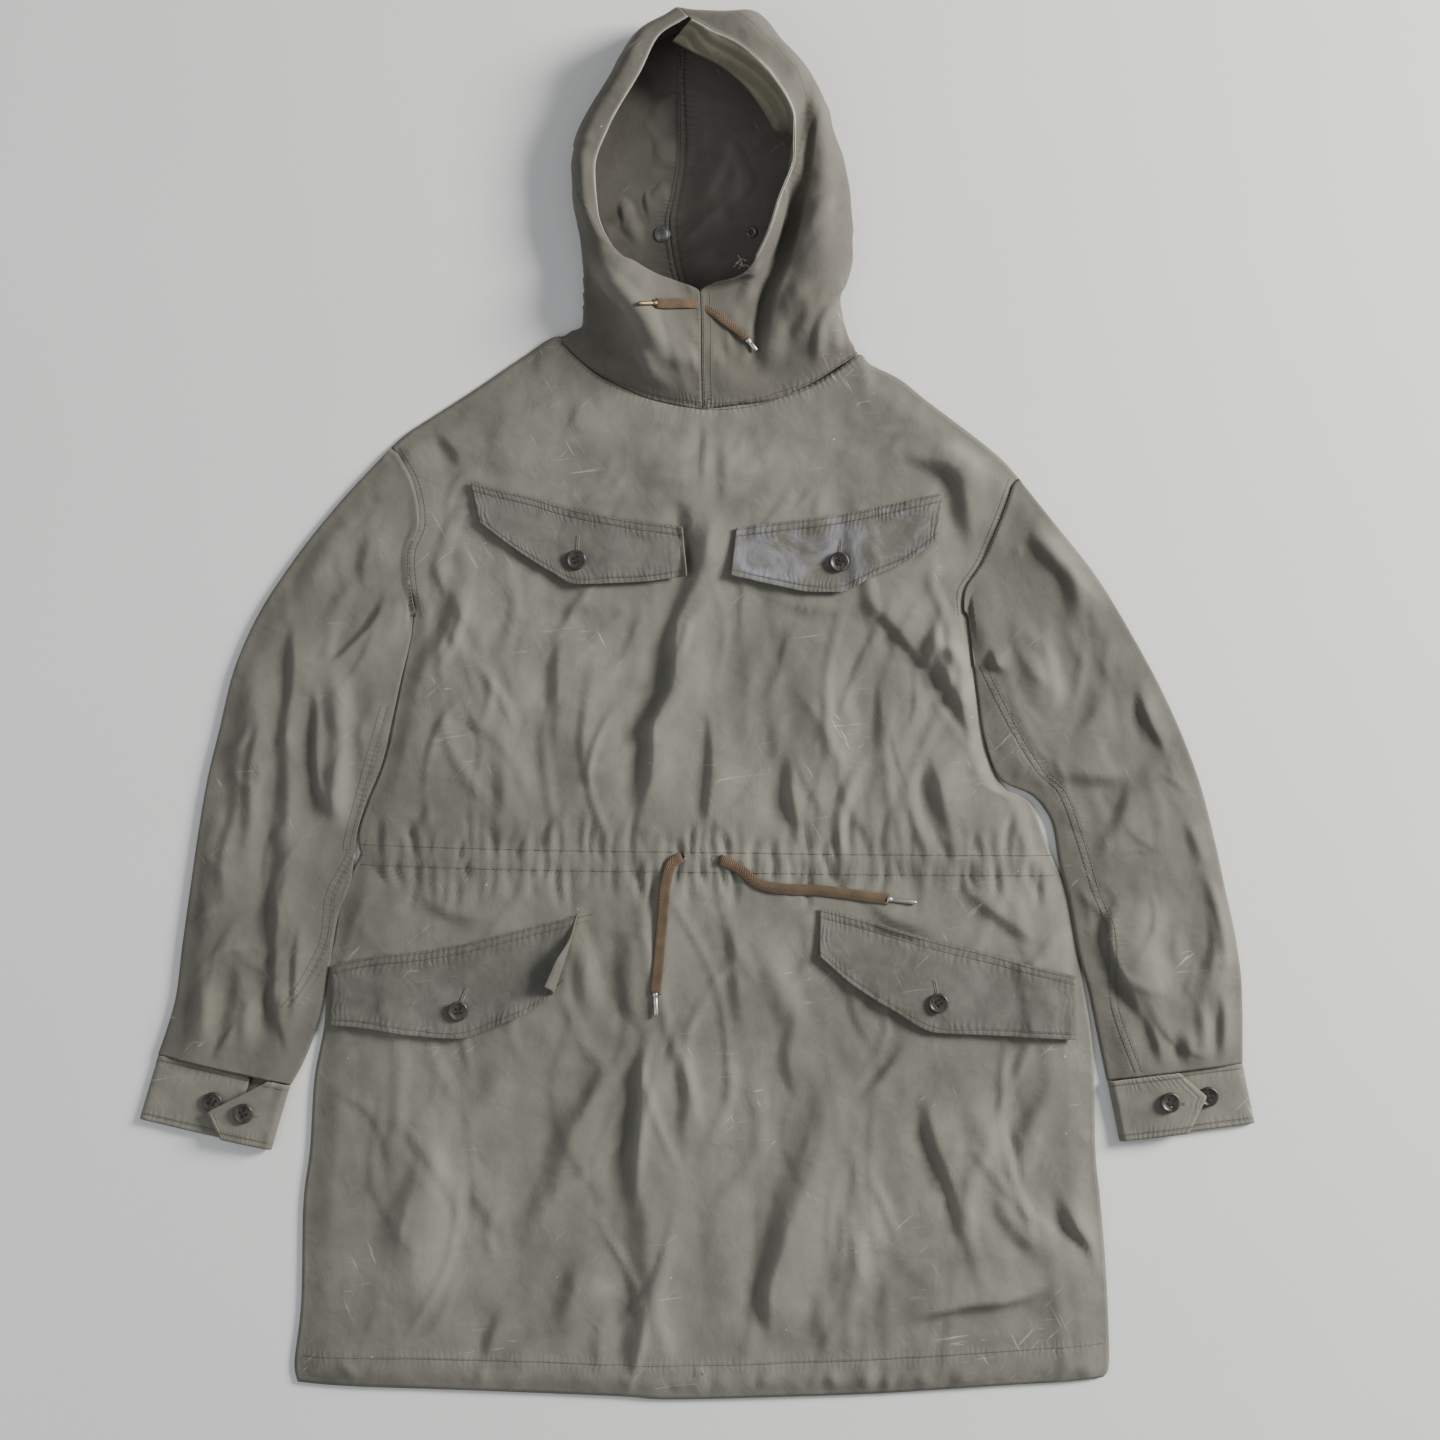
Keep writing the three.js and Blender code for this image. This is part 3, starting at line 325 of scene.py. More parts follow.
def poplinMaterial(name, look):
    # Cotton poplin, piece dyed and washed soft: fully matt, with a faint bloom at grazing angles,
    # paler on its ridges and with painted shade in its creases. Its threads are 0.35 mm apart, too fine
    # to show, so the grain is drawn at about 1.5 mm.
    made, tree = newMaterial(name)
    place = addNode(tree, "ShaderNodeTexCoord").outputs["Object"]
    fade = addNode(tree, "ShaderNodeTexNoise", inputs={
        "Vector": place, "Scale": 5.5, "Detail": 4.0, "Roughness": 0.6, "Distortion": 0.5})
    tone = addNode(tree, "ShaderNodeValToRGB", inputs={"Fac": fade},
                   stops=[(0.32, look["shade"]), (0.68, look["light"])])
    mottle = addNode(tree, "ShaderNodeTexNoise", inputs={
        "Vector": place, "Scale": 42.0, "Detail": 5.0, "Roughness": 0.65})
    mottled = addNode(tree, "ShaderNodeMixRGB", {"blend_type": "OVERLAY"}, {
        "Fac": look["mottle"], "Color1": tone, "Color2": mottle})
    threads = addNode(tree, "ShaderNodeMapping", inputs={"Vector": place, "Scale": (900.0, 120.0, 300.0)})
    slub = addNode(tree, "ShaderNodeTexNoise", inputs={"Vector": threads, "Scale": 1.0, "Detail": 2.0})
    slubbed = addNode(tree, "ShaderNodeMixRGB", {"blend_type": "OVERLAY"}, {
        "Fac": 0.1, "Color1": mottled, "Color2": slub})
    # paler ridges and painted shade in the creases, both from the height of the folds
    worn = addNode(tree, "ShaderNodeAttribute", {"attribute_name": "fold"}).outputs["Fac"]
    ridge = addNode(tree, "ShaderNodeMapRange", inputs={
        "Value": worn, "From Min": 0.1, "From Max": 1.0, "To Max": look["ridge"]})
    crease = addNode(tree, "ShaderNodeMapRange", inputs={
        "Value": worn, "From Min": -0.1, "From Max": -1.0, "To Max": look["crease"]})
    lit = addNode(tree, "ShaderNodeMixRGB", inputs={
        "Fac": ridge, "Color1": slubbed, "Color2": hexColour(look["worn"])})
    # painted shade: the creases are mixed towards the deep colour
    creaseShaded = addNode(tree, "ShaderNodeMixRGB", inputs={
        "Fac": crease, "Color1": lit, "Color2": hexColour(look["deep"])})
    # bluish bloom in cloudy patches
    cloud = addNode(tree, "ShaderNodeTexNoise", inputs={
        "Vector": place, "Scale": 24.0, "Detail": 5.0, "Roughness": 0.7, "Distortion": 0.8})
    patch = addNode(tree, "ShaderNodeMapRange", inputs={
        "Value": cloud, "From Min": 0.46, "From Max": 0.66, "To Max": look["bloom"]})
    bloomed = addNode(tree, "ShaderNodeMixRGB", inputs={
        "Fac": patch, "Color1": creaseShaded, "Color2": hexColour(look["bloomHex"])})
    # pale specks and thin scuffs
    speck = addNode(tree, "ShaderNodeTexVoronoi", inputs={"Vector": place, "Scale": 48.0, "Randomness": 1.0})
    dot = addNode(tree, "ShaderNodeMapRange", inputs={
        "Value": speck, "From Min": 0.055, "From Max": 0.03, "To Max": 0.5})
    chosen = addNode(tree, "ShaderNodeSeparateColor", inputs={"Color": speck.outputs["Color"]})
    rare = addNode(tree, "ShaderNodeMath", {"operation": "GREATER_THAN"}, {0: chosen, 1: 0.86})
    dots = addNode(tree, "ShaderNodeMath", {"operation": "MULTIPLY"}, {0: dot, 1: rare})
    scuffWhere = addNode(tree, "ShaderNodeTexNoise", inputs={"Vector": place, "Scale": 11.0, "Detail": 2.0})
    scuffArea = addNode(tree, "ShaderNodeMapRange", inputs={
        "Value": scuffWhere, "From Min": 0.56, "From Max": 0.66, "To Max": look["scuff"]})
    heaviest = None
    for turn in (0.5, -0.8, 1.7):
        turned = addNode(tree, "ShaderNodeMapping", {"vector_type": "TEXTURE"}, {
            "Vector": place, "Rotation": (0.0, 0.0, turn), "Location": (turn, 0.0, 0.0),
            "Scale": (0.0022, 0.034, 0.02)})
        streak = addNode(tree, "ShaderNodeTexNoise", inputs={
            "Vector": turned, "Scale": 1.0, "Detail": 0.0, "Distortion": 0.9})
        line = addNode(tree, "ShaderNodeMapRange", inputs={
            "Value": streak, "From Min": 0.775, "From Max": 0.82, "To Max": 1.0})
        heaviest = line if heaviest is None else addNode(
            tree, "ShaderNodeMath", {"operation": "MAXIMUM"}, {0: heaviest, 1: line})
    scuffs = addNode(tree, "ShaderNodeMath", {"operation": "MULTIPLY"}, {0: heaviest, 1: scuffArea})
    marks = addNode(tree, "ShaderNodeMath", {"operation": "MAXIMUM"}, {0: dots, 1: scuffs})
    marked = addNode(tree, "ShaderNodeMixRGB", inputs={
        "Fac": marks, "Color1": bloomed, "Color2": hexColour(look["chalk"])})
    # turned edges, rubbed pale
    edge = addNode(tree, "ShaderNodeAttribute", {"attribute_name": "edge"}).outputs["Fac"]
    rubbed = addNode(tree, "ShaderNodeMath", {"operation": "MULTIPLY"}, {0: edge, 1: cloud})
    edged = addNode(tree, "ShaderNodeMixRGB", inputs={
        "Fac": rubbed, "Color1": marked, "Color2": hexColour(look["chalk"])})
    # seams: a thin dark line, with small puckers across it that fade within 12 mm
    seam = addNode(tree, "ShaderNodeAttribute", {"attribute_name": "seam"}).outputs["Vector"]
    parts = addNode(tree, "ShaderNodeSeparateXYZ", inputs={"Vector": seam})
    lineFade = addNode(tree, "ShaderNodeMapRange", inputs={
        "Value": parts.outputs["Y"], "From Min": 0.0018, "From Max": 0.0003, "To Max": 0.6})
    lineShare = addNode(tree, "ShaderNodeMath", {"operation": "MULTIPLY"}, {
        0: lineFade, 1: parts.outputs["Z"]})
    lined = addNode(tree, "ShaderNodeMixRGB", inputs={
        "Fac": lineShare, "Color1": edged, "Color2": hexColour(look["deep"])})
    wobble = addNode(tree, "ShaderNodeTexNoise", inputs={"Vector": place, "Scale": 60.0, "Detail": 2.0})
    swing = addNode(tree, "ShaderNodeMath", {"operation": "MULTIPLY_ADD"}, {
        0: parts.outputs["X"], 1: 2 * math.pi / 0.0052, 2: 0.0})
    swung = addNode(tree, "ShaderNodeMath", {"operation": "MULTIPLY_ADD"}, {0: wobble, 1: 14.0, 2: swing})
    pucker = addNode(tree, "ShaderNodeMath", {"operation": "SINE"}, {0: swung})
    puckerFade = addNode(tree, "ShaderNodeMapRange", {"interpolation_type": "SMOOTHSTEP"}, {
        "Value": parts.outputs["Y"], "From Min": 0.0125, "From Max": 0.0005})
    puckerSize = addNode(tree, "ShaderNodeMath", {"operation": "MULTIPLY"}, {
        0: puckerFade, 1: parts.outputs["Z"]})
    patchy = addNode(tree, "ShaderNodeMapRange", inputs={
        "Value": wobble, "From Min": 0.35, "From Max": 0.65, "To Min": 0.25, "To Max": 1.0})
    unevenSize = addNode(tree, "ShaderNodeMath", {"operation": "MULTIPLY"}, {0: puckerSize, 1: patchy})
    puckered = addNode(tree, "ShaderNodeMath", {"operation": "MULTIPLY"}, {0: pucker, 1: unevenSize})
    groove = addNode(tree, "ShaderNodeMapRange", {"interpolation_type": "SMOOTHSTEP"}, {
        "Value": parts.outputs["Y"], "From Min": 0.0022, "From Max": 0.0, "To Max": -1.6})
    grooved = addNode(tree, "ShaderNodeMath", {"operation": "MULTIPLY_ADD"}, {
        0: groove, 1: parts.outputs["Z"], 2: puckered})
    seamBump = addNode(tree, "ShaderNodeBump", inputs={
        "Height": grooved, "Distance": 0.00036, "Strength": 0.9})
    # crumple of 15 to 30 mm, then the grain of the weave
    crumple = addNode(tree, "ShaderNodeTexNoise", inputs={
        "Vector": place, "Scale": 36.0, "Detail": 2.5, "Roughness": 0.5, "Distortion": 0.5})
    crumpleBump = addNode(tree, "ShaderNodeBump", inputs={
        "Height": crumple, "Distance": look["crumple"] * mm, "Strength": 1.0,
        "Normal": seamBump})
    grain = addNode(tree, "ShaderNodeTexNoise", inputs={"Vector": place, "Scale": 650.0, "Detail": 2.0})
    grainBump = addNode(tree, "ShaderNodeBump", inputs={
        "Height": grain, "Distance": 0.00022, "Strength": 0.5,
        "Normal": crumpleBump})
    shader = addNode(tree, "ShaderNodeBsdfPrincipled", inputs={
        "Base Color": lined, "Roughness": 0.9, "Specular IOR Level": 0.28,
        "Sheen Weight": 0.12, "Sheen Roughness": 0.45, "Normal": grainBump})
    addNode(tree, "ShaderNodeOutputMaterial", inputs={"Surface": shader})
    return made


# ridge: how far the fold ridges pale towards the "worn" colour; crease: how much painted shade of the "deep"
# colour goes into the creases; "deep" also colours the seam lines
poplinLook = {
    "shade": "#65635A", "light": "#7C7A6F", "worn": "#918F84", "deep": "#38362F", "chalk": "#C8C5B8",
    "mottle": 0.24, "ridge": 0.36, "crease": 0.16, "bloom": 0.0, "bloomHex": "#7D7B82",
    "scuff": 0.34, "crumple": 1.3,
}
# the sleeves get a darker copy of the cloth: painted shade
shadedSleeveLook = {**poplinLook, "shade": "#5A5850", "light": "#6E6C62"}
# the hood gets a darker copy of the cloth, its pale ridges included: painted shade
shadedHoodLook = {**poplinLook, "shade": "#56534B", "light": "#6A675E", "worn": "#85827A", "ridge": 0.3}
# the flaps get a darker copy of the cloth: painted shade; their bluish patches are stains
shadedFlapLook = {**poplinLook, "shade": "#55544C", "light": "#6A6860", "bloom": 0.14, "mottle": 0.34,
            "crumple": 1.8, "scuff": 0.16}
shadedBlueFlapLook = {**shadedFlapLook, "bloom": 0.85, "bloomHex": "#82828A", "mottle": 0.5}
innerLook = {**poplinLook, "shade": "#646052", "light": "#76715F", "scuff": 0.15}
poplin = poplinMaterial("washed olive cotton poplin", poplinLook)
shadedSleevePoplin = poplinMaterial("sleeve poplin, darkened as painted shade", shadedSleeveLook)
shadedHoodPoplin = poplinMaterial("hood poplin, darkened as painted shade", shadedHoodLook)
shadedFlapPoplin = poplinMaterial("flap poplin with faded patches, darkened as painted shade", shadedFlapLook)
shadedBluePoplin = poplinMaterial("flap poplin with a blue cast, darkened as painted shade", shadedBlueFlapLook)
innerPoplin = poplinMaterial("poplin, inner face", innerLook)


def threadMaterial(name, code):
    # Twisted cotton sewing thread: matt, with a fine noise for its twist
    made, tree = newMaterial(name)
    place = addNode(tree, "ShaderNodeTexCoord").outputs["Object"]
    twist = addNode(tree, "ShaderNodeTexNoise", inputs={"Vector": place, "Scale": 700.0, "Detail": 1.0})
    tint = addNode(tree, "ShaderNodeMixRGB", {"blend_type": "OVERLAY"}, {
        "Fac": 0.4, "Color1": hexColour(code), "Color2": twist})
    bump = addNode(tree, "ShaderNodeBump", inputs={"Height": twist, "Distance": 0.0002})
    shader = addNode(tree, "ShaderNodeBsdfPrincipled", inputs={
        "Base Color": tint, "Roughness": 0.7, "Normal": bump})
    addNode(tree, "ShaderNodeOutputMaterial", inputs={"Surface": shader})
    return made


thread = threadMaterial("olive sewing thread", "#59594B")
darkThread = threadMaterial("dark button thread", "#2C2824")
twist = threadMaterial("buttonhole twist", "#7A786A")
paleThread = threadMaterial("loose white thread", "#D8D4C6")


def hornMaterial():
    # Turned and polished horn: dark brown, slightly streaked, with a satin gloss worn at the rim
    made, tree = newMaterial("dark polished horn")
    place = addNode(tree, "ShaderNodeTexCoord").outputs["Object"]
    stretched = addNode(tree, "ShaderNodeMapping", inputs={"Vector": place, "Scale": (220.0, 60.0, 60.0)})
    streak = addNode(tree, "ShaderNodeTexNoise", inputs={
        "Vector": stretched, "Scale": 1.0, "Detail": 4.0, "Distortion": 0.6})
    tone = addNode(tree, "ShaderNodeValToRGB", inputs={"Fac": streak},
                   stops=[(0.35, "#24201E"), (0.72, "#4A413B")])
    wear = addNode(tree, "ShaderNodeMapRange", inputs={"Value": streak, "To Min": 0.28, "To Max": 0.5})
    bump = addNode(tree, "ShaderNodeBump", inputs={"Height": streak, "Distance": 0.0001})
    shader = addNode(tree, "ShaderNodeBsdfPrincipled", inputs={
        "Base Color": tone, "Roughness": wear,
        "IOR": 1.54, "Normal": bump})
    addNode(tree, "ShaderNodeOutputMaterial", inputs={"Surface": shader})
    return made


def braidMaterial():
    # Flat cotton braid, brown: plaited strands 1.5 mm across that slant both ways from its middle
    made, tree = newMaterial("brown cotton braid")
    along = addNode(tree, "ShaderNodeUVMap", {"uv_map": "UVMap"}).outputs["UV"]
    parts = addNode(tree, "ShaderNodeSeparateXYZ", inputs={"Vector": along})
    fold = addNode(tree, "ShaderNodeMath", {"operation": "ABSOLUTE"}, {0: parts.outputs["Y"]})
    slant = addNode(tree, "ShaderNodeMath", {"operation": "ADD"}, {0: parts.outputs["X"], 1: fold})
    turns = addNode(tree, "ShaderNodeMath", {"operation": "MULTIPLY"}, {0: slant, 1: 2 * math.pi / 0.0021})
    strand = addNode(tree, "ShaderNodeMath", {"operation": "SINE"}, {0: turns})
    place = addNode(tree, "ShaderNodeTexCoord").outputs["Object"]
    worn = addNode(tree, "ShaderNodeTexNoise", inputs={"Vector": place, "Scale": 60.0, "Detail": 4.0})
    tone = addNode(tree, "ShaderNodeValToRGB", inputs={"Fac": worn},
                   stops=[(0.3, "#52412F"), (0.7, "#705A41")])
    # painted shade in the hollows between the strands
    depth = addNode(tree, "ShaderNodeMapRange", inputs={
        "Value": strand, "From Min": -1.0, "From Max": -0.2, "To Min": 0.45, "To Max": 0.0})
    shaded = addNode(tree, "ShaderNodeMixRGB", inputs={
        "Fac": depth, "Color1": tone, "Color2": hexColour("#35281B")})
    bump = addNode(tree, "ShaderNodeBump", inputs={"Height": strand, "Distance": 0.0003})
    shader = addNode(tree, "ShaderNodeBsdfPrincipled", inputs={
        "Base Color": shaded, "Roughness": 0.85, "Sheen Weight": 0.15,
        "Normal": bump})
    addNode(tree, "ShaderNodeOutputMaterial", inputs={"Surface": shader})
    return made


def metalMaterial(name, code, rough, tarnish):
    # Rolled or pressed sheet metal, handled for years: soft gloss with dull cloudy tarnish
    made, tree = newMaterial(name)
    place = addNode(tree, "ShaderNodeTexCoord").outputs["Object"]
    cloud = addNode(tree, "ShaderNodeTexNoise", inputs={"Vector": place, "Scale": 260.0, "Detail": 4.0})
    share = addNode(tree, "ShaderNodeMapRange", inputs={
        "Value": cloud, "From Min": 0.45, "From Max": 0.7, "To Max": 0.8})
    tint = addNode(tree, "ShaderNodeMixRGB", inputs={
        "Fac": share, "Color1": hexColour(code), "Color2": hexColour(tarnish)})
    gloss = addNode(tree, "ShaderNodeMapRange", inputs={
        "Value": cloud, "To Min": rough, "To Max": rough + 0.3})
    bump = addNode(tree, "ShaderNodeBump", inputs={"Height": cloud, "Distance": 0.00008})
    shader = addNode(tree, "ShaderNodeBsdfPrincipled", inputs={
        "Base Color": tint, "Metallic": 1.0, "Roughness": gloss,
        "Normal": bump})
    addNode(tree, "ShaderNodeOutputMaterial", inputs={"Surface": shader})
    return made


horn = hornMaterial()
braid = braidMaterial()
silverTag = metalMaterial("bright rolled tin tag", "#C8C8C2", 0.25, "#8E8C84")
bronzeTag = metalMaterial("dull bronze tag", "#8A7A5C", 0.4, "#4E4534")
snapMetal = metalMaterial("tarnished nickel snap", "#7C7C7A", 0.34, "#4A4A48")
print("materials made")


# front and back panels

# the panel, the sleeves and the hood each give the fold height at which the ridges are palest and the painted
# shade in the creases is darkest
panel = {
    "columns": 220, "rows": 214, "wall": 0.8,
    "rest": 2.6, "loft": 4.8, "edgeFade": 24, "width": 620, "upperHeight": 400, "lowerHeight": 475,
    "gathers": 56, "gatherHeight": 3.4, "gatherFrom": -298, "gatherSpan": 616, "waistLine": -137,
    "foldScale": 1.62, "swell": [(2.2, (60, 130)), (1.1, (26, 52)), (0.35, (12, 18))], "ridgeAndCreaseShadeHeight": 6,
    "neckLift": 15, "neckReach": 40, "armholeLift": 17, "armholeReach": 30, "hemLift": 5,
    "tunnelHeight": 0.4, "tunnelHalf": 11, "hemHeight": 0.7, "hemDeep": 34,
}
backPanel = {"columns": 90, "rows": 110, "rest": 1.0, "relief": 0.5}
# each edge from the hood end down or from left to right, in mm
edges = {
    "shoulderLeft": [(-276, 235), (-261, 248), (-241, 261), (-199, 288), (-158, 316), (-126, 335)],
    "neck": [(-126, 335), (-112, 319), (-92, 302), (-69, 290), (-45, 282), (-20, 276), (5, 272),
             (27, 272), (52, 275), (76, 282), (100, 290), (125, 304), (146, 319)],
    "shoulderRight": [(146, 319), (157, 310), (183, 297), (207, 278), (248, 247), (275, 225), (291, 207)],
    "backNeck": [(-126, 335), (-112, 318), (-80, 304), (10, 298.6), (100, 303), (134, 312), (146, 319)],
    "armholeLeft": [(-276, 235), (-259, 204), (-253, 167), (-262, 140), (-261, 112), (-256, 82)],
    "sideLeft": [(-256, 82), (-271, 3), (-282, -47), (-298, -88), (-306, -114), (-303, -132)],
    "skirtLeft": [(-303, -132), (-321, -168), (-328, -209), (-333, -230), (-336, -285), (-345, -335),
                  (-349, -398), (-355, -448), (-357, -537), (-363, -590), (-360, -608)],
    "armholeRight": [(291, 207), (278, 172), (261, 132), (245, 107), (245, 83)],
    "sideRight": [(245, 83), (254, 21), (263, -39), (278, -73), (301, -86), (315, -120), (324, -142)],
    "skirtRight": [(324, -142), (334, -162), (342, -201), (348, -243), (358, -311), (360, -398),
                   (364, -441), (369, -499), (372, -562), (372, -595), (367, -604)],
    "waist": [(-303, -132), (-150, -137), (3, -139), (150, -141), (324, -142)],
    "hem": [(-360, -608), (-312, -612), (-198, -616), (-72, -621), (-27, -624), (66, -622), (154, -619),
            (205, -616), (281, -611), (332, -608), (367, -604)],
}
# course of the fold, width and height in mm; the courses of laps run along their dark side
frontFolds = [
    # skirt
    ([(-47, -290), (-54, -334), (-57, -377), (-56, -440), (-53, -483), (-54, -532), (-57, -612)], 20, -6.4),
    ([(122, -318), (101, -368), (90, -406), (83, -445), (71, -483), (62, -522), (55, -580)], 27, -7.4),
    ([(-76, -306), (-98, -348), (-114, -377), (-134, -420), (-149, -454), (-168, -490)], 20, -5.5),
    ([(-103, -486), (-118, -520), (-131, -570)], 16, -4.2),
    ([(-74, -530), (-92, -572), (-92, -612)], 12, -3.6),
    ([(-173, -534), (-186, -560), (-196, -596)], 11, -3.0),
    ([(-174, -300), (-198, -350), (-224, -400)], 24, -3.0),
    ([(-278, -296), (-312, -334), (-340, -366)], 20, -2.4),
    ([(-240, -380), (-262, -450), (-270, -540)], 26, -2.4),
    ([(-215, -430), (-190, -462), (-168, -486)], 14, -2.6),
    ([(198, -340), (206, -382), (223, -421), (236, -464), (240, -492)], 14, -5.0),
    ([(318, -332), (297, -368), (288, -396), (291, -426)], 14, -5.6),
    ([(256, -424), (279, -464), (318, -506)], 12, -4.2),
    ([(322, -428), (337, -464), (352, -488), (360, -522)], 12, -5.2),
    ([(180, -558), (223, -546), (276, -536), (334, -519)], 14, -5.0),
    ([(190, -300), (164, -334), (139, -360)], 13, -3.6),
    ([(112, -514), (108, -551), (114, -590)], 15, -3.0),
    ([(-16, -296), (-16, -353), (-13, -412)], 22, -3.2),
    ([(76, -290), (84, -330), (90, -360)], 16, -2.6),
    ([(338, -384), (352, -394), (366, -390)], 12, -3.2),
    ([(20, -420), (30, -480), (34, -560)], 30, 2.4),
    ([(250, -330), (262, -390), (300, -440)], 22, 2.6),
    ([(150, -420), (146, -490), (140, -560)], 26, 2.6),
    ([(-232, -330), (-246, -440), (-262, -560)], 44, 3.0),
    # drawn-in waist to the chest
    ([(11, 181), (-7, 108), (-21, 67), (-28, 14), (-44, -12), (-46, -59), (-54, -106)], 15, -7.0),
    ([(5, 8), (12, -35), (9, -92), (12, -128)], 11, -3.6),
    ([(85, -22), (79, -76), (98, -120)], 15, -5.0),
    ([(137, 108), (181, 66), (234, 16)], 15, -5.2),
    ([(204, 62), (226, 46), (244, 22)], 12, -3.0),
    ([(205, -32), (215, -90), (236, -120)], 13, -4.0),
    ([(228, 84), (209, 58), (226, 18), (247, -36)], 15, -4.6),
    ([(-218, 126), (-222, 84), (-250, 40), (-262, 4)], 15, -5.0),
    ([(-175, -9), (-179, -76), (-188, -116)], 14, -3.4),
    ([(-118, 80), (-132, 10), (-140, -70)], 22, -3.2),
    ([(-90, 60), (-104, 0), (-96, -80)], 18, -2.6),
    ([(160, 30), (162, -30), (154, -100)], 18, -3.2),
    ([(50, 70), (40, 10), (48, -60)], 20, -2.6),
    ([(172, 228), (217, 216), (230, 202), (239, 168), (248, 134)], 14, -5.0),
    ([(20, 268), (22, 220), (22, 172)], 10, -2.6),
    ([(4, 268), (4, 224), (4, 190)], 8, -2.0),
    ([(-200, 226), (-158, 216), (-112, 226), (-54, 250)], 24, -3.4),
    ([(-240, 250), (-222, 232), (-214, 212)], 12, -3.4),
    ([(-33, 188), (-14, 180), (-8, 158), (-7, 120)], 12, -4.2),
    ([(-60, 98), (-104, 86), (-156, 92)], 14, -2.2),
    ([(56, 98), (100, 88), (150, 88)], 12, -2.0),
    ([(-150, 40), (-170, -10), (-190, -90)], 40, 2.6),
    ([(110, 60), (112, 0), (126, -80)], 34, 3.0),
    ([(200, 230), (240, 222), (262, 190)], 20, 2.6),
    ([(-60, 210), (20, 214), (110, 206)], 34, 2.0),
    # below the waist
    ([(-118, -196), (-100, -230), (-94, -290)], 16, 2.6),
    ([(60, -196), (76, -250), (96, -306)], 20, 2.8),
    ([(26, -176), (34, -236), (28, -310)], 18, -2.8),
    ([(-62, -176), (-66, -240), (-56, -300)], 17, -3.4),
    ([(150, -170), (172, -190), (224, -206)], 14, -2.6),
    ([(230, -154), (262, -186), (318, -216)], 14, -3.4),
    ([(-250, -160), (-232, -184), (-176, -196)], 13, -2.6),
]
frontFolds += looseCreases(11, 90, ((-330, 330), (-590, -190)), 84, (60, 230), 1.3)
frontFolds += looseCreases(12, 84, ((-260, 260), (-110, 150)), 78, (50, 180), 1.3)
frontFolds += looseCreases(13, 60, ((-220, 230), (170, 290)), 24, (24, 80), 0.9)
frontFolds += looseCreases(14, 130, ((-330, 330), (-590, 280)), 60, (14, 40), 0.6)
frontFolds += looseCreases(15, 46, ((-345, 350), (-616, -596)), 96, (16, 34), 1.5)
backFolds = looseCreases(31, 60, ((-330, 330), (-590, 280)), 80, (60, 200), 1.0)


def gatherFolds():
    # small uneven tucks that run up and down from the drawn-in waist
    chance = random.Random(5)
    folds = []
    for k in range(panel["gathers"]):
        x = panel["gatherFrom"] + (k + chance.uniform(0.25, 0.75)) * panel["gatherSpan"] / panel["gathers"]
        for way in (1, -1):
            reach = chance.uniform(26, 62)
            start = panel["waistLine"] - way * 6
            course = [(x, start), (x + chance.uniform(-3, 3), start + way * reach / 2),
                      (x + chance.uniform(-9, 9), start + way * reach)]
            height = -chance.uniform(0.25, 1) * panel["gatherHeight"]
            folds.append((course, chance.uniform(4.2, 7.4), height, "hollow"))
    return folds


def shifted(course, dx, dy):
    return [(x + dx, y + dy) for x, y in course]


frontSeams = [  # course, and how much the cloth puckers along it
    (edges["neck"], 0.7), (edges["armholeLeft"], 0.4), (edges["armholeRight"], 0.4),
    (shifted(edges["waist"], 0, 9), 0.16), (shifted(edges["waist"], 0, -9), 0.16),
    ([(-355, -584), (-198, -587), (-70, -591), (3, -592), (129, -588), (205, -584), (366, -573)], 0.35),
]


def panelPlaces(a, b, top, bottom, left, right):
    # a patch between four edges, as a cloth panel is laid out
    t, w, l, r = curvePlaces(top, a), curvePlaces(bottom, a), curvePlaces(left, b), curvePlaces(right, b)
    (t0, t1), (w0, w1) = curvePlaces(top, [0, 1]), curvePlaces(bottom, [0, 1])
    a, b = a[:, None], b[:, None]
    return ((1 - b) * t + b * w + (1 - a) * l + a * r
            - (1 - a) * (1 - b) * t0 - a * (1 - b) * t1 - (1 - a) * b * w0 - a * b * w1)


def bodyPlaces(a, b, neck):
    waistShare = panel["upperHeight"] / (panel["upperHeight"] + panel["lowerHeight"])
    upper = b <= waistShare
    top = edges["shoulderLeft"] + edges[neck][1:] + edges["shoulderRight"][1:]
    place = np.zeros((len(a), 2))
    place[upper] = panelPlaces(a[upper], b[upper] / waistShare, top, edges["waist"],
                               edges["armholeLeft"] + edges["sideLeft"][1:],
                               edges["armholeRight"] + edges["sideRight"][1:])
    down = (b[~upper] - waistShare) / (1 - waistShare)
    place[~upper] = panelPlaces(a[~upper], down, edges["waist"], edges["hem"], edges["skirtLeft"],
                                edges["skirtRight"])
    whole = panel["upperHeight"] + panel["lowerHeight"]
    # the neck edge is sewn to the hood, so it stays up, while shoulders, sides and hem lie down
    neckAway, *_ = nearestOn(edges["neck"][1:-1], place[:, 0], place[:, 1])
    held = panel["neckLift"] * smooth((panel["neckReach"] - neckAway) / 20)
    fromEnd = np.minimum(b * whole + held, (1 - b) * whole + panel["hemLift"])
    # so does each armhole edge between its ends, under the sleeve that is sewn to it
    sewn = np.zeros(len(place))
    for key in ("armholeLeft", "armholeRight"):
        away, _, along, size = nearestOn(edges[key], place[:, 0], place[:, 1])
        middle = smooth(np.minimum(along, size - along) / 26)
        near = smooth((panel["armholeReach"] - away) / 18)
        sewn = np.maximum(sewn, panel["armholeLift"] * near * middle)
    return place, np.minimum(np.minimum(a, 1 - a) * panel["width"] + sewn, fromEnd + sewn)


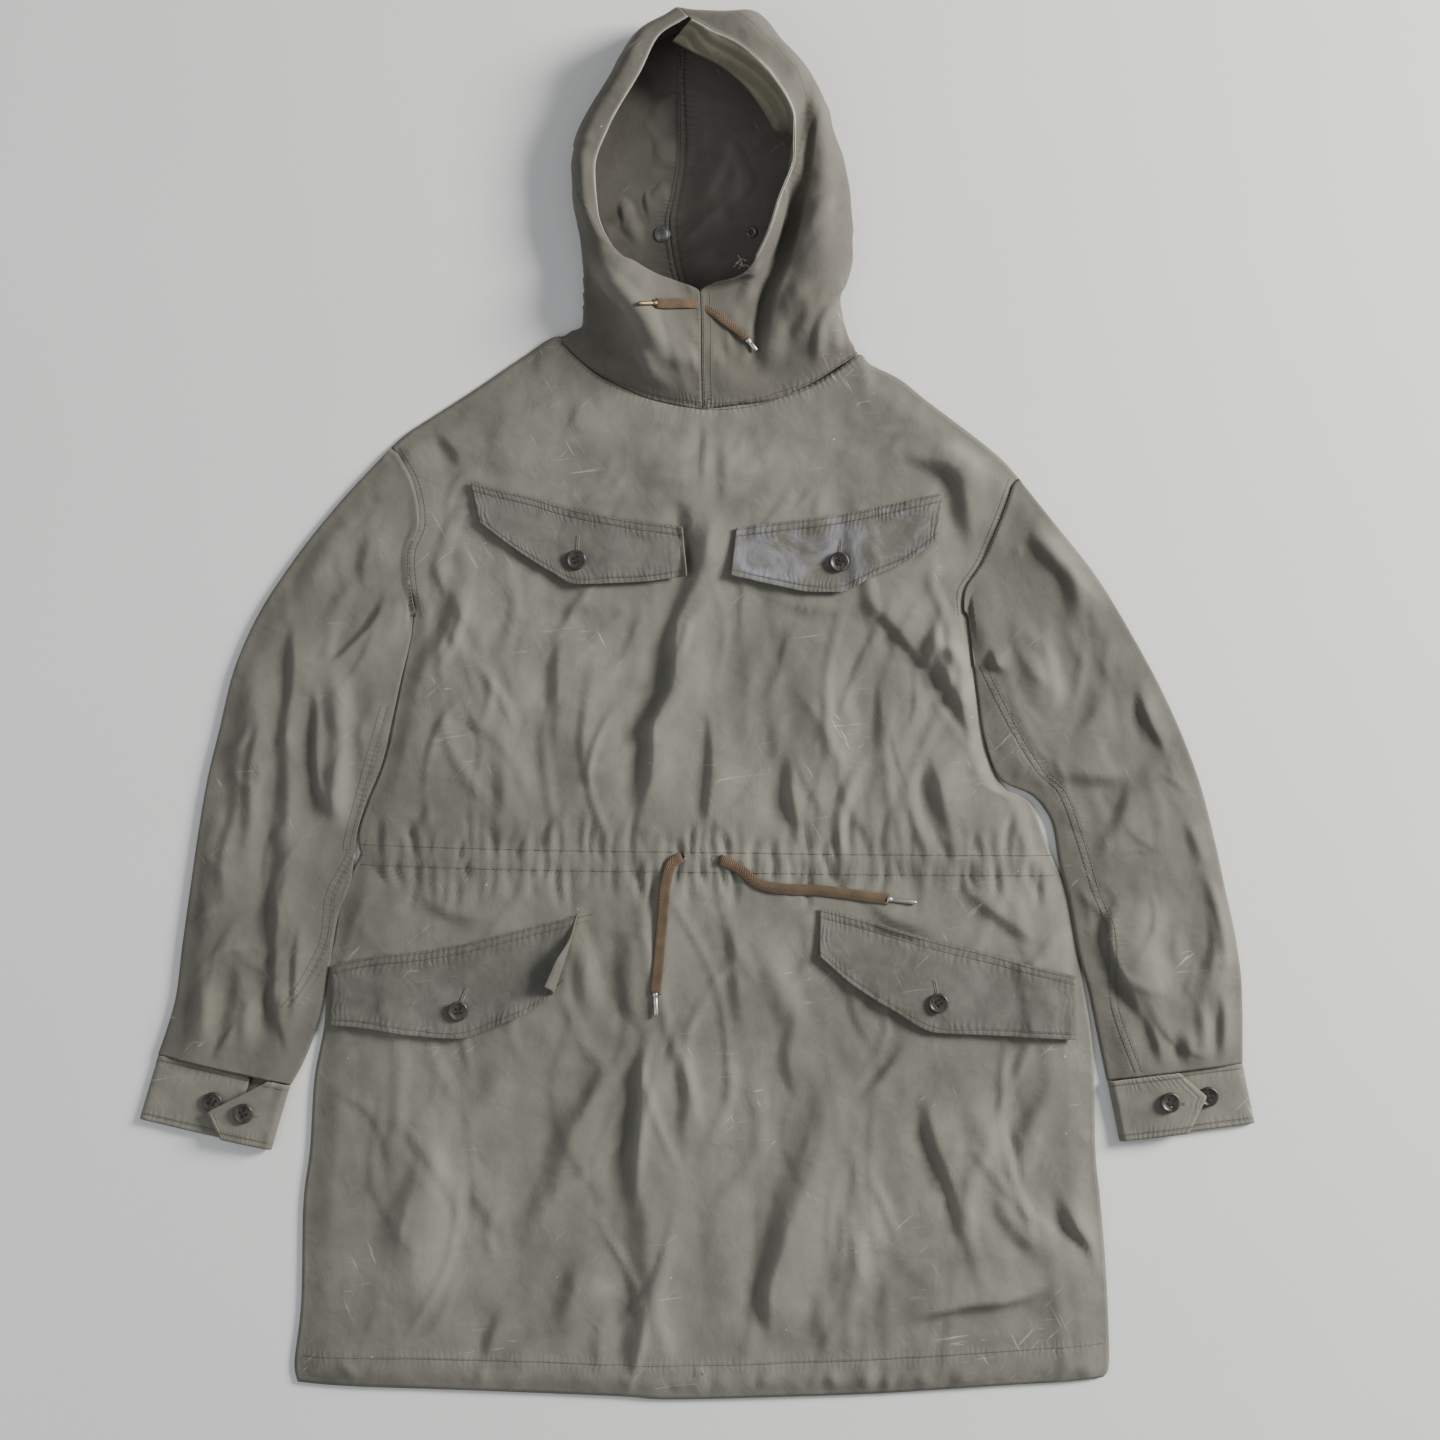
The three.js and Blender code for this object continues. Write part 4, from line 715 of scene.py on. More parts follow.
def makeFront():
    made = {}

    def place(a, b):
        flat, fromEdge = bodyPlaces(a, b, "neck")
        x, y = flat[:, 0], flat[:, 1]
        relief = panel["foldScale"] * foldRelief(x, y, frontFolds)
        tucks = foldRelief(x, y, gatherFolds())
        swell = swellOf(x, y, panel["swell"], 1)
        waistAway, *_ = nearestOn(edges["waist"], x, y)
        tunnel = panel["tunnelHeight"] * smooth((panel["tunnelHalf"] - waistAway) / 4)
        hemAway = y - curvePlaces(edges["hem"], a)[:, 1]
        hemRoll = panel["hemHeight"] * smooth((panel["hemDeep"] - hemAway) / 4)
        loft = panel["loft"] + relief + tucks + swell + tunnel + hemRoll
        made["fold"] = np.clip((relief + 1.6 * tucks + 0.5 * swell) / panel["ridgeAndCreaseShadeHeight"], -1, 1)
        made["flat"] = flat
        z = panel["rest"] + np.maximum(0, loft * smooth(fromEdge / panel["edgeFade"]))
        return np.column_stack([flat, z])

    piece, *_ = gridPiece("front_panel", panel["columns"], panel["rows"], place)
    setAttribute(piece, "fold", made["fold"])
    setAttribute(piece, "seam", seamFields(*made["flat"].T, frontSeams))
    wall(piece, panel["wall"])
    finishPiece(piece, poplin, "poplin", "body_front")
    return piece


def makeBack():
    made = {}

    def place(a, b):
        flat, fromEdge = bodyPlaces(a, b, "backNeck")
        crease = foldRelief(flat[:, 0], flat[:, 1], backFolds)
        made["fold"] = np.clip(crease, -1, 1)
        made["flat"] = flat
        raised = np.clip(backPanel["relief"] * np.abs(crease), 0, backPanel["relief"])
        return np.column_stack([flat, backPanel["rest"] + raised])

    piece, *_ = gridPiece("back_panel", backPanel["columns"], backPanel["rows"], place)
    setAttribute(piece, "fold", made["fold"])
    setAttribute(piece, "seam", seamFields(*made["flat"].T, frontSeams[3:]))
    wall(piece, panel["wall"])
    finishPiece(piece, poplin, "poplin", "body_back")
    return piece


front = makeFront()
back = makeBack()
frontTree = treeOf(front)
print("front and back made")


# sleeves

sleeve = {
    "around": 124, "along": 190, "wall": 0.8, "foldScale": 1.45, "rest": 5.2, "loft": 3.4,
    "swell": [(1.5, (46, 90)), (0.8, (20, 38)), (0.25, (10, 14))], "ridgeAndCreaseShadeHeight": 4.5, "edgeFade": 26,
    "rounding": 3.5, "lap": 3, "clear": 0.95, "armholeShare": 0.28, "armholeSteps": 200,
}
leftSleeve = {  # outer and inner edge of the flattened tube, from armhole to cuff, and its edge heights
    "outer": [(-276, 235), (-320, 188), (-364, 133), (-398, 80), (-419, 30), (-431, -20), (-442, -66),
              (-450, -113), (-457, -162), (-464, -212), (-470, -260), (-479, -292), (-486, -312)],
    "inner": [(-256, 82), (-261, 62), (-269, 32), (-278, -8), (-287, -48), (-303, -88), (-311, -117),
              (-315, -152), (-327, -190), (-334, -232), (-342, -280), (-354, -318), (-366, -340)],
    "tuck": [0, 3, 4, 4, 4, 4, 4, 4, 3, 3, 2, 0, 0], "armhole": edges["armholeLeft"], "outward": -1,
    "edge": [2.6, 3.6, 4.0, 4.0, 4.0, 4.0, 4.0, 3.6, 3.0, 2.6, 2.6, 2.6, 2.6],
    "seam": [(-277, 2), (-309, -114), (-308, -131), (-326, -167), (-332, -209), (-351, -248), (-366, -269)],
}
rightSleeve = {
    "outer": [(291, 207), (323, 167), (360, 120), (392, 68), (420, 16), (441, -31), (456, -73),
              (468, -120), (477, -162), (487, -209), (492, -248), (493, -286), (493, -320)],
    "inner": [(245, 83), (250, 58), (256, 18), (262, -24), (277, -64), (305, -80), (321, -106),
              (327, -140), (338, -176), (346, -216), (355, -262), (363, -302), (370, -336)],
    "tuck": [0, 2, 3, 3, 3, 1, 0, 0, 2, 3, 0, 0, 0], "armhole": edges["armholeRight"], "outward": 1,
    "edge": [2.6, 3.8, 4.4, 4.4, 4.2, 3.2, 2.6, 2.6, 2.6, 2.6, 2.6, 2.6, 2.6],
    "seam": [(254, 38), (279, -13), (305, -56), (326, -77), (342, -120), (356, -166), (369, -201),
             (373, -268), (394, -328)],
}
leftSleeveFolds = [
    ([(-366, 84), (-366, 20), (-372, -50), (-378, -160), (-384, -296)], 15, -6.0),
    ([(-356, 48), (-330, 42), (-300, 72), (-278, 112)], 15, -6.0),
    ([(-330, 50), (-318, -20), (-322, -80), (-314, -122)], 16, 4.2),
    ([(-346, 30), (-342, -30), (-340, -120)], 15, -4.6),
    ([(-318, 10), (-306, -30), (-306, -80)], 12, -3.6),
    ([(-296, 196), (-336, 146), (-372, 92)], 24, -4.0),
    ([(-286, 184), (-304, 134), (-296, 96)], 16, -4.0),
    ([(-330, 186), (-352, 140), (-366, 96)], 14, -3.0),
    ([(-402, 70), (-416, -10), (-424, -110), (-430, -200)], 24, -4.0),
    ([(-398, 20), (-402, -60), (-408, -150)], 16, -3.4),
    ([(-440, -60), (-446, -140), (-452, -220)], 18, -2.8),
    ([(-452, -240), (-455, -284), (-460, -312)], 10, -4.0),
    ([(-412, -220), (-420, -270), (-434, -320)], 12, -4.4),
    ([(-382, -230), (-383, -279), (-385, -312)], 11, -4.2),
    ([(-398, -240), (-402, -280), (-408, -316)], 12, 2.6),
    ([(-436, -230), (-440, -280), (-446, -314)], 13, 2.8),
    ([(-356, -180), (-362, -230), (-368, -300)], 12, -3.4),
] + looseCreases(21, 80, ((-470, -270), (-300, 200)), 80, (30, 110), 1.3)
rightSleeveFolds = [
    ([(292, 176), (316, 128), (338, 92), (352, 66)], 44, -8.5),
    ([(262, 56), (267, 37), (283, 33)], 11, -5.0),
    ([(310, -60), (349, -66), (378, -66), (398, -46)], 15, -6.0),
    ([(396, 34), (407, -12), (430, -56)], 16, -5.0),
    ([(388, -58), (380, -93), (363, -131), (380, -162)], 18, -5.0),
    ([(447, -132), (468, -174), (471, -216), (468, -256)], 22, -5.4),
    ([(440, -96), (452, -130), (462, -150)], 14, -3.2),
    ([(384, -156), (370, -201), (382, -248), (403, -290)], 15, -5.4),
    ([(414, -150), (402, -210), (424, -286)], 26, 3.6),
    ([(450, -166), (462, -208), (452, -252), (438, -292)], 15, -4.4),
    ([(364, 20), (352, -10), (330, -30)], 20, -3.2),
    ([(300, 60), (312, 20), (338, -10)], 22, 3.2),
    ([(420, 24), (440, -20), (452, -60)], 12, -3.0),
    ([(471, -250), (473, -292), (471, -322)], 10, -4.2),
    ([(398, -270), (412, -300), (416, -326)], 11, -4.2),
    ([(434, -286), (440, -306), (440, -326)], 10, -4.0),
    ([(454, -262), (458, -296), (456, -322)], 10, 2.6),
] + looseCreases(22, 80, ((290, 480), (-300, 170)), 100, (30, 110), 1.3)


def makeSleeve(name, spec, folds, node):
    shares = np.linspace(0, 1, sleeve["armholeSteps"])
    hole = curvePlaces(spec["armhole"], shares)
    drift = hole - hole[0] - shares[:, None] * (hole[-1] - hole[0])
    # how far across the flattened tube the points lie, closer together at its two edges
    stops = [0, 0.02, 0.04, 0.47, 0.485, 0.5, 0.515, 0.53, 0.96, 0.98, 1]
    crossed = [0, 0.006, 0.02, 0.98, 0.994, 1, 0.994, 0.98, 0.02, 0.006, 0]

    def place(a, b):
        t = np.interp(a, stops, crossed)
        upper = a <= 0.5
        outer, inner = betweenPlaces(spec["outer"], b), betweenPlaces(spec["inner"], b)
        bow = (1 - smooth(b / sleeve["armholeShare"]))[:, None]
        bend = np.stack([np.interp(t, shares, drift[:, k]) for k in (0, 1)], -1)
        flat = outer + t[:, None] * (inner - outer) + bow * bend
        width = np.linalg.norm(inner - outer, axis=1)
        flat[:, 0] -= spec["outward"] * between(spec["tuck"], b) * smooth((t - 0.8) / 0.2)
        lap = sleeve["lap"] * smooth((0.02 - b) / 0.02) * smooth(np.minimum(t, 1 - t) / 0.04) * upper
        flat[:, 0] -= spec["outward"] * lap
        x, y = flat[:, 0], flat[:, 1]
        relief = sleeve["foldScale"] * foldRelief(x, y, folds)
        swell = swellOf(x, y, sleeve["swell"], 4)
        fromEdge = np.minimum(t, 1 - t) * width
        rounded = np.sqrt(1 - (1 - np.clip(fromEdge / sleeve["rounding"], 0, 1)) ** 2)
        rise = smooth(fromEdge / sleeve["edgeFade"])
        edge = np.where(t > 0.5, between(spec["edge"], b), spec["edge"][0])
        top = edge + (sleeve["rest"] - edge) * rounded
        top += np.maximum(0, (sleeve["loft"] + relief + swell) * rise)
        # the upper layer lies over the front panel at the armhole
        for k in np.nonzero(upper & (b < 0.13))[0]:
            below = heightOn(frontTree, x[k], y[k], 4, -1)
            clear = below + sleeve["clear"] if below > 0 else min(top[k], 6.8)
            top[k] = max(clear, clear + (top[k] - clear) * smooth(b[k] / 0.11))
        z = np.where(upper, top, edge * (1 - rounded))
        return np.column_stack([flat, z])

    piece, *_ = gridPiece(name, sleeve["around"], sleeve["along"], place, closed=True)
    spots = np.array([v.co for v in piece.data.vertices]) / mm
    relief = foldRelief(spots[:, 0], spots[:, 1], folds)
    setAttribute(piece, "fold", np.where(spots[:, 2] > 3, np.clip(relief / sleeve["ridgeAndCreaseShadeHeight"], -1, 1), 0))
    seams = [(spec["seam"], 0.45), (shifted(spec["seam"], 7, 1), 0.3)]
    setAttribute(piece, "seam", seamFields(spots[:, 0], spots[:, 1], seams))
    wall(piece, sleeve["wall"])
    finishPiece(piece, shadedSleevePoplin, "poplin", node)
    return piece


sleeveLeft = makeSleeve("sleeve_left_tube", leftSleeve, leftSleeveFolds, "sleeve_left")
sleeveRight = makeSleeve("sleeve_right_tube", rightSleeve, rightSleeveFolds, "sleeve_right")
print("sleeves made")


# hood

hood = {
    "main": 84, "band": 14, "rows": 150, "wall": 0.8, "rim": 27, "apart": -0.05, "facingGap": 0.4,
    "wide": 240, "tall": 340, "openFrom": {"left": 0.42, "right": 0.345}, "ridgeAndCreaseShadeHeight": 4.5,
}
# Sections from neck seam to crown. Each starts at the centre-back seam on the floor, turns up at its
# side and comes over to the throat seam or to the rim of the face opening.
leftHood = {
    "back": [(10, 298.6, 0), (6, 330, 0), (-6, 360, 0), (-20, 400, 0), (-25, 438, 0), (-21, 462, 0),
             (-16, 490, 0), (-14, 520, 0), (-15, 560, 0), (-14, 594, 0), (-12, 604, 0)],
    "under": [(-82, 311, 0), (-86, 334, 0), (-88, 372, 0), (-92, 410, 0), (-98, 440, 0), (-100, 462, 0),
              (-100, 489, 0), (-92, 520, 0), (-68, 561, 0), (-44, 598, 0), (-15, 612, 0)],
    "side": [(-124, 334, 5), (-103, 346, 9), (-102, 384, 11), (-104, 418, 12), (-108, 444, 13),
             (-111, 464, 13), (-112, 487, 13), (-104, 520, 14), (-79, 563, 16), (-52, 602, 18),
             (-21, 621, 16)],
    "bulge": [(-98, 307, 6), (-80, 328, 13), (-84, 366, 18), (-95, 398, 24), (-102, 434, 25),
              (-109, 461, 24), (-110, 487, 24), (-102, 520, 26), (-77, 563, 30), (-50, 602, 34),
              (-20, 621, 32)],
    "dip": [(-46, 280, 6), (-37, 316, 30), (-54, 354, 34), (-74, 386, 35), (-88, 418, 33),
            (-101, 456, 31), (-102, 485, 31), (-93, 519, 34), (-68, 562, 39), (-44, 599, 44), (-14, 617, 45)],
    "end": [(5, 269, 6), (4, 308, 22), (4, 342, 26), (3, 370, 28), (-58, 393, 30),
            (-87, 440, 28), (-90, 480, 28), (-77, 517, 32), (-50, 562, 37), (-32, 594, 43), (-7, 609, 46)],
}
rightHood = {
    "back": [(10, 298.6, 0), (6, 330, 0), (-6, 360, 0), (-20, 400, 0), (-25, 438, 0), (-21, 462, 0),
             (-16, 490, 0), (-14, 520, 0), (-14.5, 545, 0), (-15, 570, 0), (-14, 586, 0), (-13, 597, 0),
             (-12, 601, 0), (-12, 604, 0)],
    "under": [(118, 308, 0), (120, 330, 0), (114, 362, 0), (122, 392, 0), (128, 420, 0), (129, 442, 0),
              (127, 470, 0), (121, 496, 0), (110, 522, 0), (96, 553, 0), (66, 586, 0), (40, 608, 0),
              (8, 612, 0), (-15, 612, 0)],
    "side": [(146, 320, 5), (134, 338, 10), (127, 362, 12), (134, 384, 12), (140, 406, 12), (141, 430, 12),
             (139, 458, 12), (134, 488, 13), (122, 518, 14), (108, 556, 14), (79, 595, 15), (50, 620, 16),
             (14, 619, 16), (-21, 621, 16)],
    "bulge": [(122, 304, 6), (104, 330, 24), (100, 360, 29), (108, 384, 30), (114, 406, 32), (117, 430, 34),
              (118, 458, 34), (116, 487, 34), (111, 517, 34), (101, 555, 34), (73, 594, 34), (46, 619, 33),
              (13, 618, 33), (-20, 621, 32)],
    "dip": [(76, 280, 6), (56, 318, 15), (62, 352, 17), (71, 380, 20), (80, 402, 23), (87, 425, 26),
            (93, 451, 27), (98, 484, 30), (100, 515, 36), (91, 554, 46), (61, 590, 48), (37, 612, 47),
            (10, 613, 46), (-14, 617, 45)],
    "end": [(5, 269, 6), (4, 308, 22), (4, 342, 26), (3, 370, 28), (42, 384, 40), (62, 414, 50),
            (74, 447, 58), (87, 483, 62), (87, 514, 62), (68, 554, 58), (36, 585, 52), (14, 596, 50),
            (3, 603, 48), (-7, 609, 46)],
}
hoodFolds = {  # creases of the upper layer and of the inner face that shows through the opening
    "left": {
        "upper": [([(-96, 404), (-84, 386), (-66, 368), (-46, 346), (-32, 324), (-22, 298)], 12, 5),
                  ([(-104, 410), (-88, 378), (-62, 344), (-48, 320), (-38, 296)], 20, -10.0),
                  ([(-62, 322), (-50, 304), (-42, 290)], 12, -3.4),
                  ([(-34, 352), (-26, 326), (-14, 292)], 11, -4.0),
                  ([(-60, 330), (-40, 300), (-20, 284)], 10, 1.8),
                  ([(-118, 500), (-104, 504), (-90, 506)], 7, -1.8),
                  ([(-106, 470), (-112, 440), (-104, 410)], 12, -2.6)]
        + looseCreases(41, 50, ((-110, 0), (280, 420)), 120, (20, 70), 1.1)
        + looseCreases(45, 36, ((-112, -30), (420, 610)), 60, (12, 40), 0.8),
        "inner": [([(-62, 484), (-36, 488), (-6, 486), (23, 479)], 12, -4.4),
                  ([(-53, 546), (-24, 558), (9, 577)], 12, -6.0),
                  ([(-60, 536), (-42, 512), (-38, 490)], 14, -4.0),
                  ([(-76, 470), (-71, 452), (-65, 436)], 8, -6.0),
                  ([(-86, 446), (-82, 424), (-78, 408)], 7, -5.0),
                  ([(-46, 482), (-49, 460), (-46, 436)], 13, -5.0),
                  ([(-62, 476), (-60, 444), (-52, 410)], 12, 3.6),
                  ([(-30, 484), (-36, 470), (-40, 456)], 8, -3.0)]
        + looseCreases(42, 46, ((-90, 0), (380, 590)), 110, (20, 70), 1.2),
    },
    "right": {
        "upper": [([(107, 566), (101, 529), (96, 497), (93, 463), (86, 421), (70, 381), (60, 346),
                    (53, 290)], 11, -8.0),
                  ([(104, 548), (99, 520), (95, 490), (92, 458), (84, 418), (68, 380), (58, 346),
                    (52, 296)], 9, -6.0, "hollow"),
                  ([(138, 380), (126, 367), (114, 354), (108, 334), (105, 300)], 13, -8.0),
                  ([(123, 424), (115, 402), (103, 369), (84, 312)], 15, -4.6),
                  ([(131, 464), (108, 436), (84, 400)], 10, 3.0),
                  ([(60, 590), (78, 570), (90, 548)], 16, -3.0),
                  ([(62, 404), (50, 380), (40, 350)], 12, 3),
                  ([(42, 352), (38, 330), (38, 300)], 11, -4.2),
                  ([(28, 350), (26, 326), (28, 300)], 9, -2.6),
                  ([(76, 360), (72, 330), (68, 300)], 12, 3.0),
                  ([(96, 470), (112, 440), (104, 400), (84, 350)], 16, 2.6),
                  ([(122, 352), (124, 332), (128, 314)], 9, 3.0)]
        + looseCreases(43, 50, ((10, 135), (280, 560)), 80, (20, 70), 1.1),
        "inner": [([(30, 534), (26, 504), (18, 484), (4, 458), (-6, 440)], 12, -10.0),
                  ([(46, 470), (30, 456), (14, 446), (-6, 431), (-26, 414)], 11, -7.0),
                  ([(-22, 452), (-32, 432), (-30, 412)], 7, -3.6),
                  ([(52, 500), (44, 474), (30, 452)], 14, 3),
                  ([(20, 420), (8, 410), (-8, 402)], 10, -3.0),
                  ([(23, 479), (4, 484), (-20, 486)], 10, -3.4)]
        + looseCreases(44, 46, ((-10, 90), (380, 590)), 70, (20, 70), 1.2),
    },
}
backSeam = {"half": 5.5, "step": 1.1, "height": 0.9}  # the felled seam down the back of the hood


def sectionCurves(spec, v):
    # a centripetal curve through each section's stations; returns its places and its lengths so far
    keys = ("back", "under", "side", "bulge", "dip", "end")
    p = np.stack([betweenPlaces(spec[key], v) for key in keys], 1)
    p = np.concatenate([2 * p[:, :1] - p[:, 1:2], p, 2 * p[:, -1:] - p[:, -2:-1]], 1)
    gap = np.maximum(1e-4, np.linalg.norm(np.diff(p, axis=1), axis=2)) ** 0.5
    pieces = []
    f = np.linspace(0, 1, 24, endpoint=False)[None, :, None]
    for k in range(5):
        p0, p1, p2, p3 = (p[:, k + i, None] for i in range(4))
        d0, d1, d2 = (gap[:, k + i, None, None] for i in range(3))
        m1 = ((p1 - p0) / d0 - (p2 - p0) / (d0 + d1) + (p2 - p1) / d1) * d1
        m2 = ((p2 - p1) / d1 - (p3 - p1) / (d1 + d2) + (p3 - p2) / d2) * d1
        pieces.append(p1 + m1 * f + (3 * p2 - 3 * p1 - 2 * m1 - m2) * f ** 2
                      + (2 * p1 - 2 * p2 + m1 + m2) * f ** 3)
    line = np.concatenate(pieces + [p[:, -2:-1]], 1)
    steps = np.linalg.norm(np.diff(line, axis=1), axis=2)
    return line, np.concatenate([np.zeros((len(v), 1)), np.cumsum(steps, 1)], 1)


def makeHoodHalf(name, spec, folds, way, node):
    made = {}
    bandStart = hood["main"] / (hood["main"] + hood["band"])

    def place(a, b):
        rows = np.unique(np.round(b, 6))
        line, length = sectionCurves(spec, rows)
        row = np.searchsorted(rows, np.round(b, 6) - 1e-7)
        where = np.zeros((len(a), 3))
        reach = np.zeros(len(a))
        for r in range(len(rows)):
            mine = row == r
            whole = length[r, -1]
            bandShare = hood["rim"] / whole
            u = np.where(a[mine] < bandStart, a[mine] / bandStart * (1 - bandShare),
                         1 - bandShare + (a[mine] - bandStart) / (1 - bandStart) * bandShare)
            where[mine] = np.stack([np.interp(u * whole, length[r], line[r, :, k]) for k in range(3)], -1)
            reach[mine] = u
        made["reach"] = reach
        where[:, 0] -= way * hood["apart"]
        return where

    piece, a, b, where = gridPiece(name, hood["main"] + hood["band"], hood["rows"], place)
    mesh = piece.data
    normals = np.zeros(len(mesh.vertices) * 3)
    mesh.vertices.foreach_get("normal", normals)
    normals = normals.reshape(-1, 3)
    reach = made["reach"]
    upper = reach > 0.5
    if normals[upper, 2].mean() < 0:
        mesh.flip_normals()
        normals = -normals
    x, y = where[:, 0], where[:, 1]
    onTop = smooth((reach - 0.42) / 0.1)
    inside = smooth((0.4 - reach) / 0.08)
    relief = onTop * foldRelief(x, y, folds["upper"]) + inside * foldRelief(x, y, folds["inner"])
    swell = 1.3 * ripples(x, y + where[:, 2], (34, 46), 7) + 0.6 * ripples(x + where[:, 2], y, (15, 22), 8)
    quiet = smooth(a / 0.05) * smooth((1 - a) / 0.04) * smooth(b / 0.05) * smooth((1 - b) / 0.04)
    lift = (relief + swell * (0.8 * onTop + 0.5)) * quiet
    backAway = a * hood["wide"]
    seamBand = backSeam["height"] * smooth((backSeam["half"] - backAway) / backSeam["step"])
    lift += seamBand * smooth((b - 0.3) / 0.05)
    upward = np.where(normals[:, 2] < -0.3, -1, 1)[:, None]
    spots = where + lift[:, None] * normals * upward
    for k in np.nonzero((b < 0.2) & upper)[0]:  # the throat lies over the front panel
        below = heightOn(frontTree, x[k], y[k], 0, -1)
        if below > 0:
            spots[k, 2] = max(spots[k, 2], below + 1.0)
    spots[:, 2] = np.maximum(spots[:, 2], np.where(normals[:, 2] < 0, 0.0, 0.8))
    mesh.vertices.foreach_set("co", (spots * mm).ravel())
    mesh.update()
    setAttribute(piece, "fold", np.clip(lift / hood["ridgeAndCreaseShadeHeight"], -1, 1))
    neckLine = curvePlaces(edges["neck"], np.linspace(0, 1, 40))
    neckAway = farSeam * (b > 0.2) + nearestOn(neckLine, spots[:, 0], spots[:, 1])[0]
    endAway = (1 - a) * (hood["main"] + hood["band"]) / hood["band"] * hood["rim"]
    backAway = np.abs(backAway - backSeam["half"])
    rimAway = np.where(b < hood["openFrom"]["left"], endAway, np.abs(endAway - hood["rim"]))
    away = np.minimum.reduce([neckAway, rimAway, backAway])
    along = np.where(away == neckAway, a * hood["wide"], b * hood["tall"])
    strength = np.select([away == neckAway, away == backAway], [0.7, 0.9], 0.4)
    setAttribute(piece, "seam", np.stack([along * mm, away * mm, strength], -1))
    openFrom = hood["openFrom"]["left" if way > 0 else "right"]
    setAttribute(piece, "edge", smooth((2.4 - endAway) / 1.6) * (b > openFrom))
    wall(piece, hood["wall"])
    finishPiece(piece, shadedHoodPoplin, "poplin", node)
    return piece, a, b, spots


rimFacing = {  # where along the rim the right strip hangs out, which way, how far, and its creases
    "width": 26, "hang": (-0.66, -0.62, -0.42), "from": 500, "over": 26, "creases": 2.4, "depth": 1.1,
}


def makeFacing(name, source, way, node):
    # the strip inside the rim that makes the lace tunnel, copied from the rim band and moved inwards;
    # at the right of the crown it hangs out of its fold, so that its own face shows
    half, a, b, spots = source
    bm = bmesh.new()
    bm.from_mesh(half.data)
    bm.verts.ensure_lookup_table()
    start = hood["main"] / (hood["main"] + hood["band"])
    first = hood["openFrom"]["left" if way > 0 else "right"]
    rim = {round(b[k], 5): spots[k] for k in range(len(b)) if a[k] > 1 - 1e-6}
    hang = np.array(rimFacing["hang"]) / np.linalg.norm(rimFacing["hang"])
    for k, vert in enumerate(bm.verts):
        vert.co -= vert.normal * (hood["wall"] + hood["facingGap"]) * mm
        edge = rim[round(b[k], 5)]
        share = float(smooth((edge[1] - rimFacing["from"]) / rimFacing["over"])) if way < 0 else 0
        if share > 0 and a[k] > start - 0.01:
            u = (1 - a[k]) / (1 - start)
            sway = 0.35 * math.sin(22 * b[k])
            crease = rimFacing["depth"] * abs(math.sin(math.pi * (rimFacing["creases"] * u ** 0.8 + sway)))
            down = edge + hang * rimFacing["width"] * u - np.array([0, 0, 0.9 - crease])
            vert.co = Vector(down * mm) * share + vert.co * (1 - share)
    spare = [v for k, v in enumerate(bm.verts) if a[k] < start - 0.002 or b[k] < first or b[k] > 0.975]
    bmesh.ops.delete(bm, geom=spare, context="VERTS")
    piece = addObject(name, bm)
    wall(piece, hood["wall"])
    finishPiece(piece, innerPoplin, "poplin", node)
    return piece


hoodLeft = makeHoodHalf("hood_left_half", leftHood, hoodFolds["left"], 1, "hood_left")
hoodRight = makeHoodHalf("hood_right_half", rightHood, hoodFolds["right"], -1, "hood_right")
facingLeft = makeFacing("hood_rim_facing_left", hoodLeft, 1, "hood_facing_left")
facingRight = makeFacing("hood_rim_facing_right", hoodRight, -1, "hood_facing_right")
hoodTree = treeOf(hoodLeft[0], hoodRight[0])
print("hood made")


# pocket flaps

flapCut = {
    "columns": 60, "rows": 24, "wall": 1.5, "clear": 1.5, "swell": [(0.9, (30, 26)), (0.4, (13, 12))],
    "rollWidth": 240, "rollTurn": 2.7, "sideWidth": 190, "seamLength": 0.21, "stitch": 5, "sewnStitch": 8,
}
flaps = {  # points of the sewn edge and the free edge, from left to right, and how far the free edge lifts
    "flap_chest_left": {
        "lift": 2.6, "material": shadedFlapPoplin,
        "sewn": [(-203, 203), (-177, 196), (-150, 190), (-123, 182), (-87, 174), (-51, 168), (-13, 163)],
        "free": [(-194, 166), (-159, 140), (-130, 122), (-107, 111), (-73, 112), (-42, 114), (-9, 119)],
    },
    "flap_chest_right": {
        "lift": 3.6, "material": shadedBluePoplin,
        "sewn": [(36, 162), (75, 167), (110, 171), (141, 176), (165, 181), (192, 187), (223, 194)],
        "free": [(31, 119), (71, 110), (104, 104), (129, 104), (158, 118), (188, 131), (216, 152)],
    },
    "flap_lower_left": {
        "lift": 2.8, "material": shadedFlapPoplin, "curl": 0.925,
        "sewn": [(-328, -231), (-288, -223), (-249, -219), (-213, -213), (-172, -203), (-132, -193),
                 (-93, -184)],
        "free": [(-329, -285), (-296, -288), (-256, -294), (-214, -297), (-179, -285), (-147, -271),
                 (-121, -249)],
    },
    "flap_lower_right": {
        "lift": 2.8, "material": shadedFlapPoplin,
        "sewn": [(111, -180), (138, -187), (179, -199), (218, -210), (260, -220), (300, -231), (341, -241)],
        "free": [(111, -223), (138, -247), (177, -272), (216, -292), (260, -294), (303, -296), (342, -298)],
    },
}


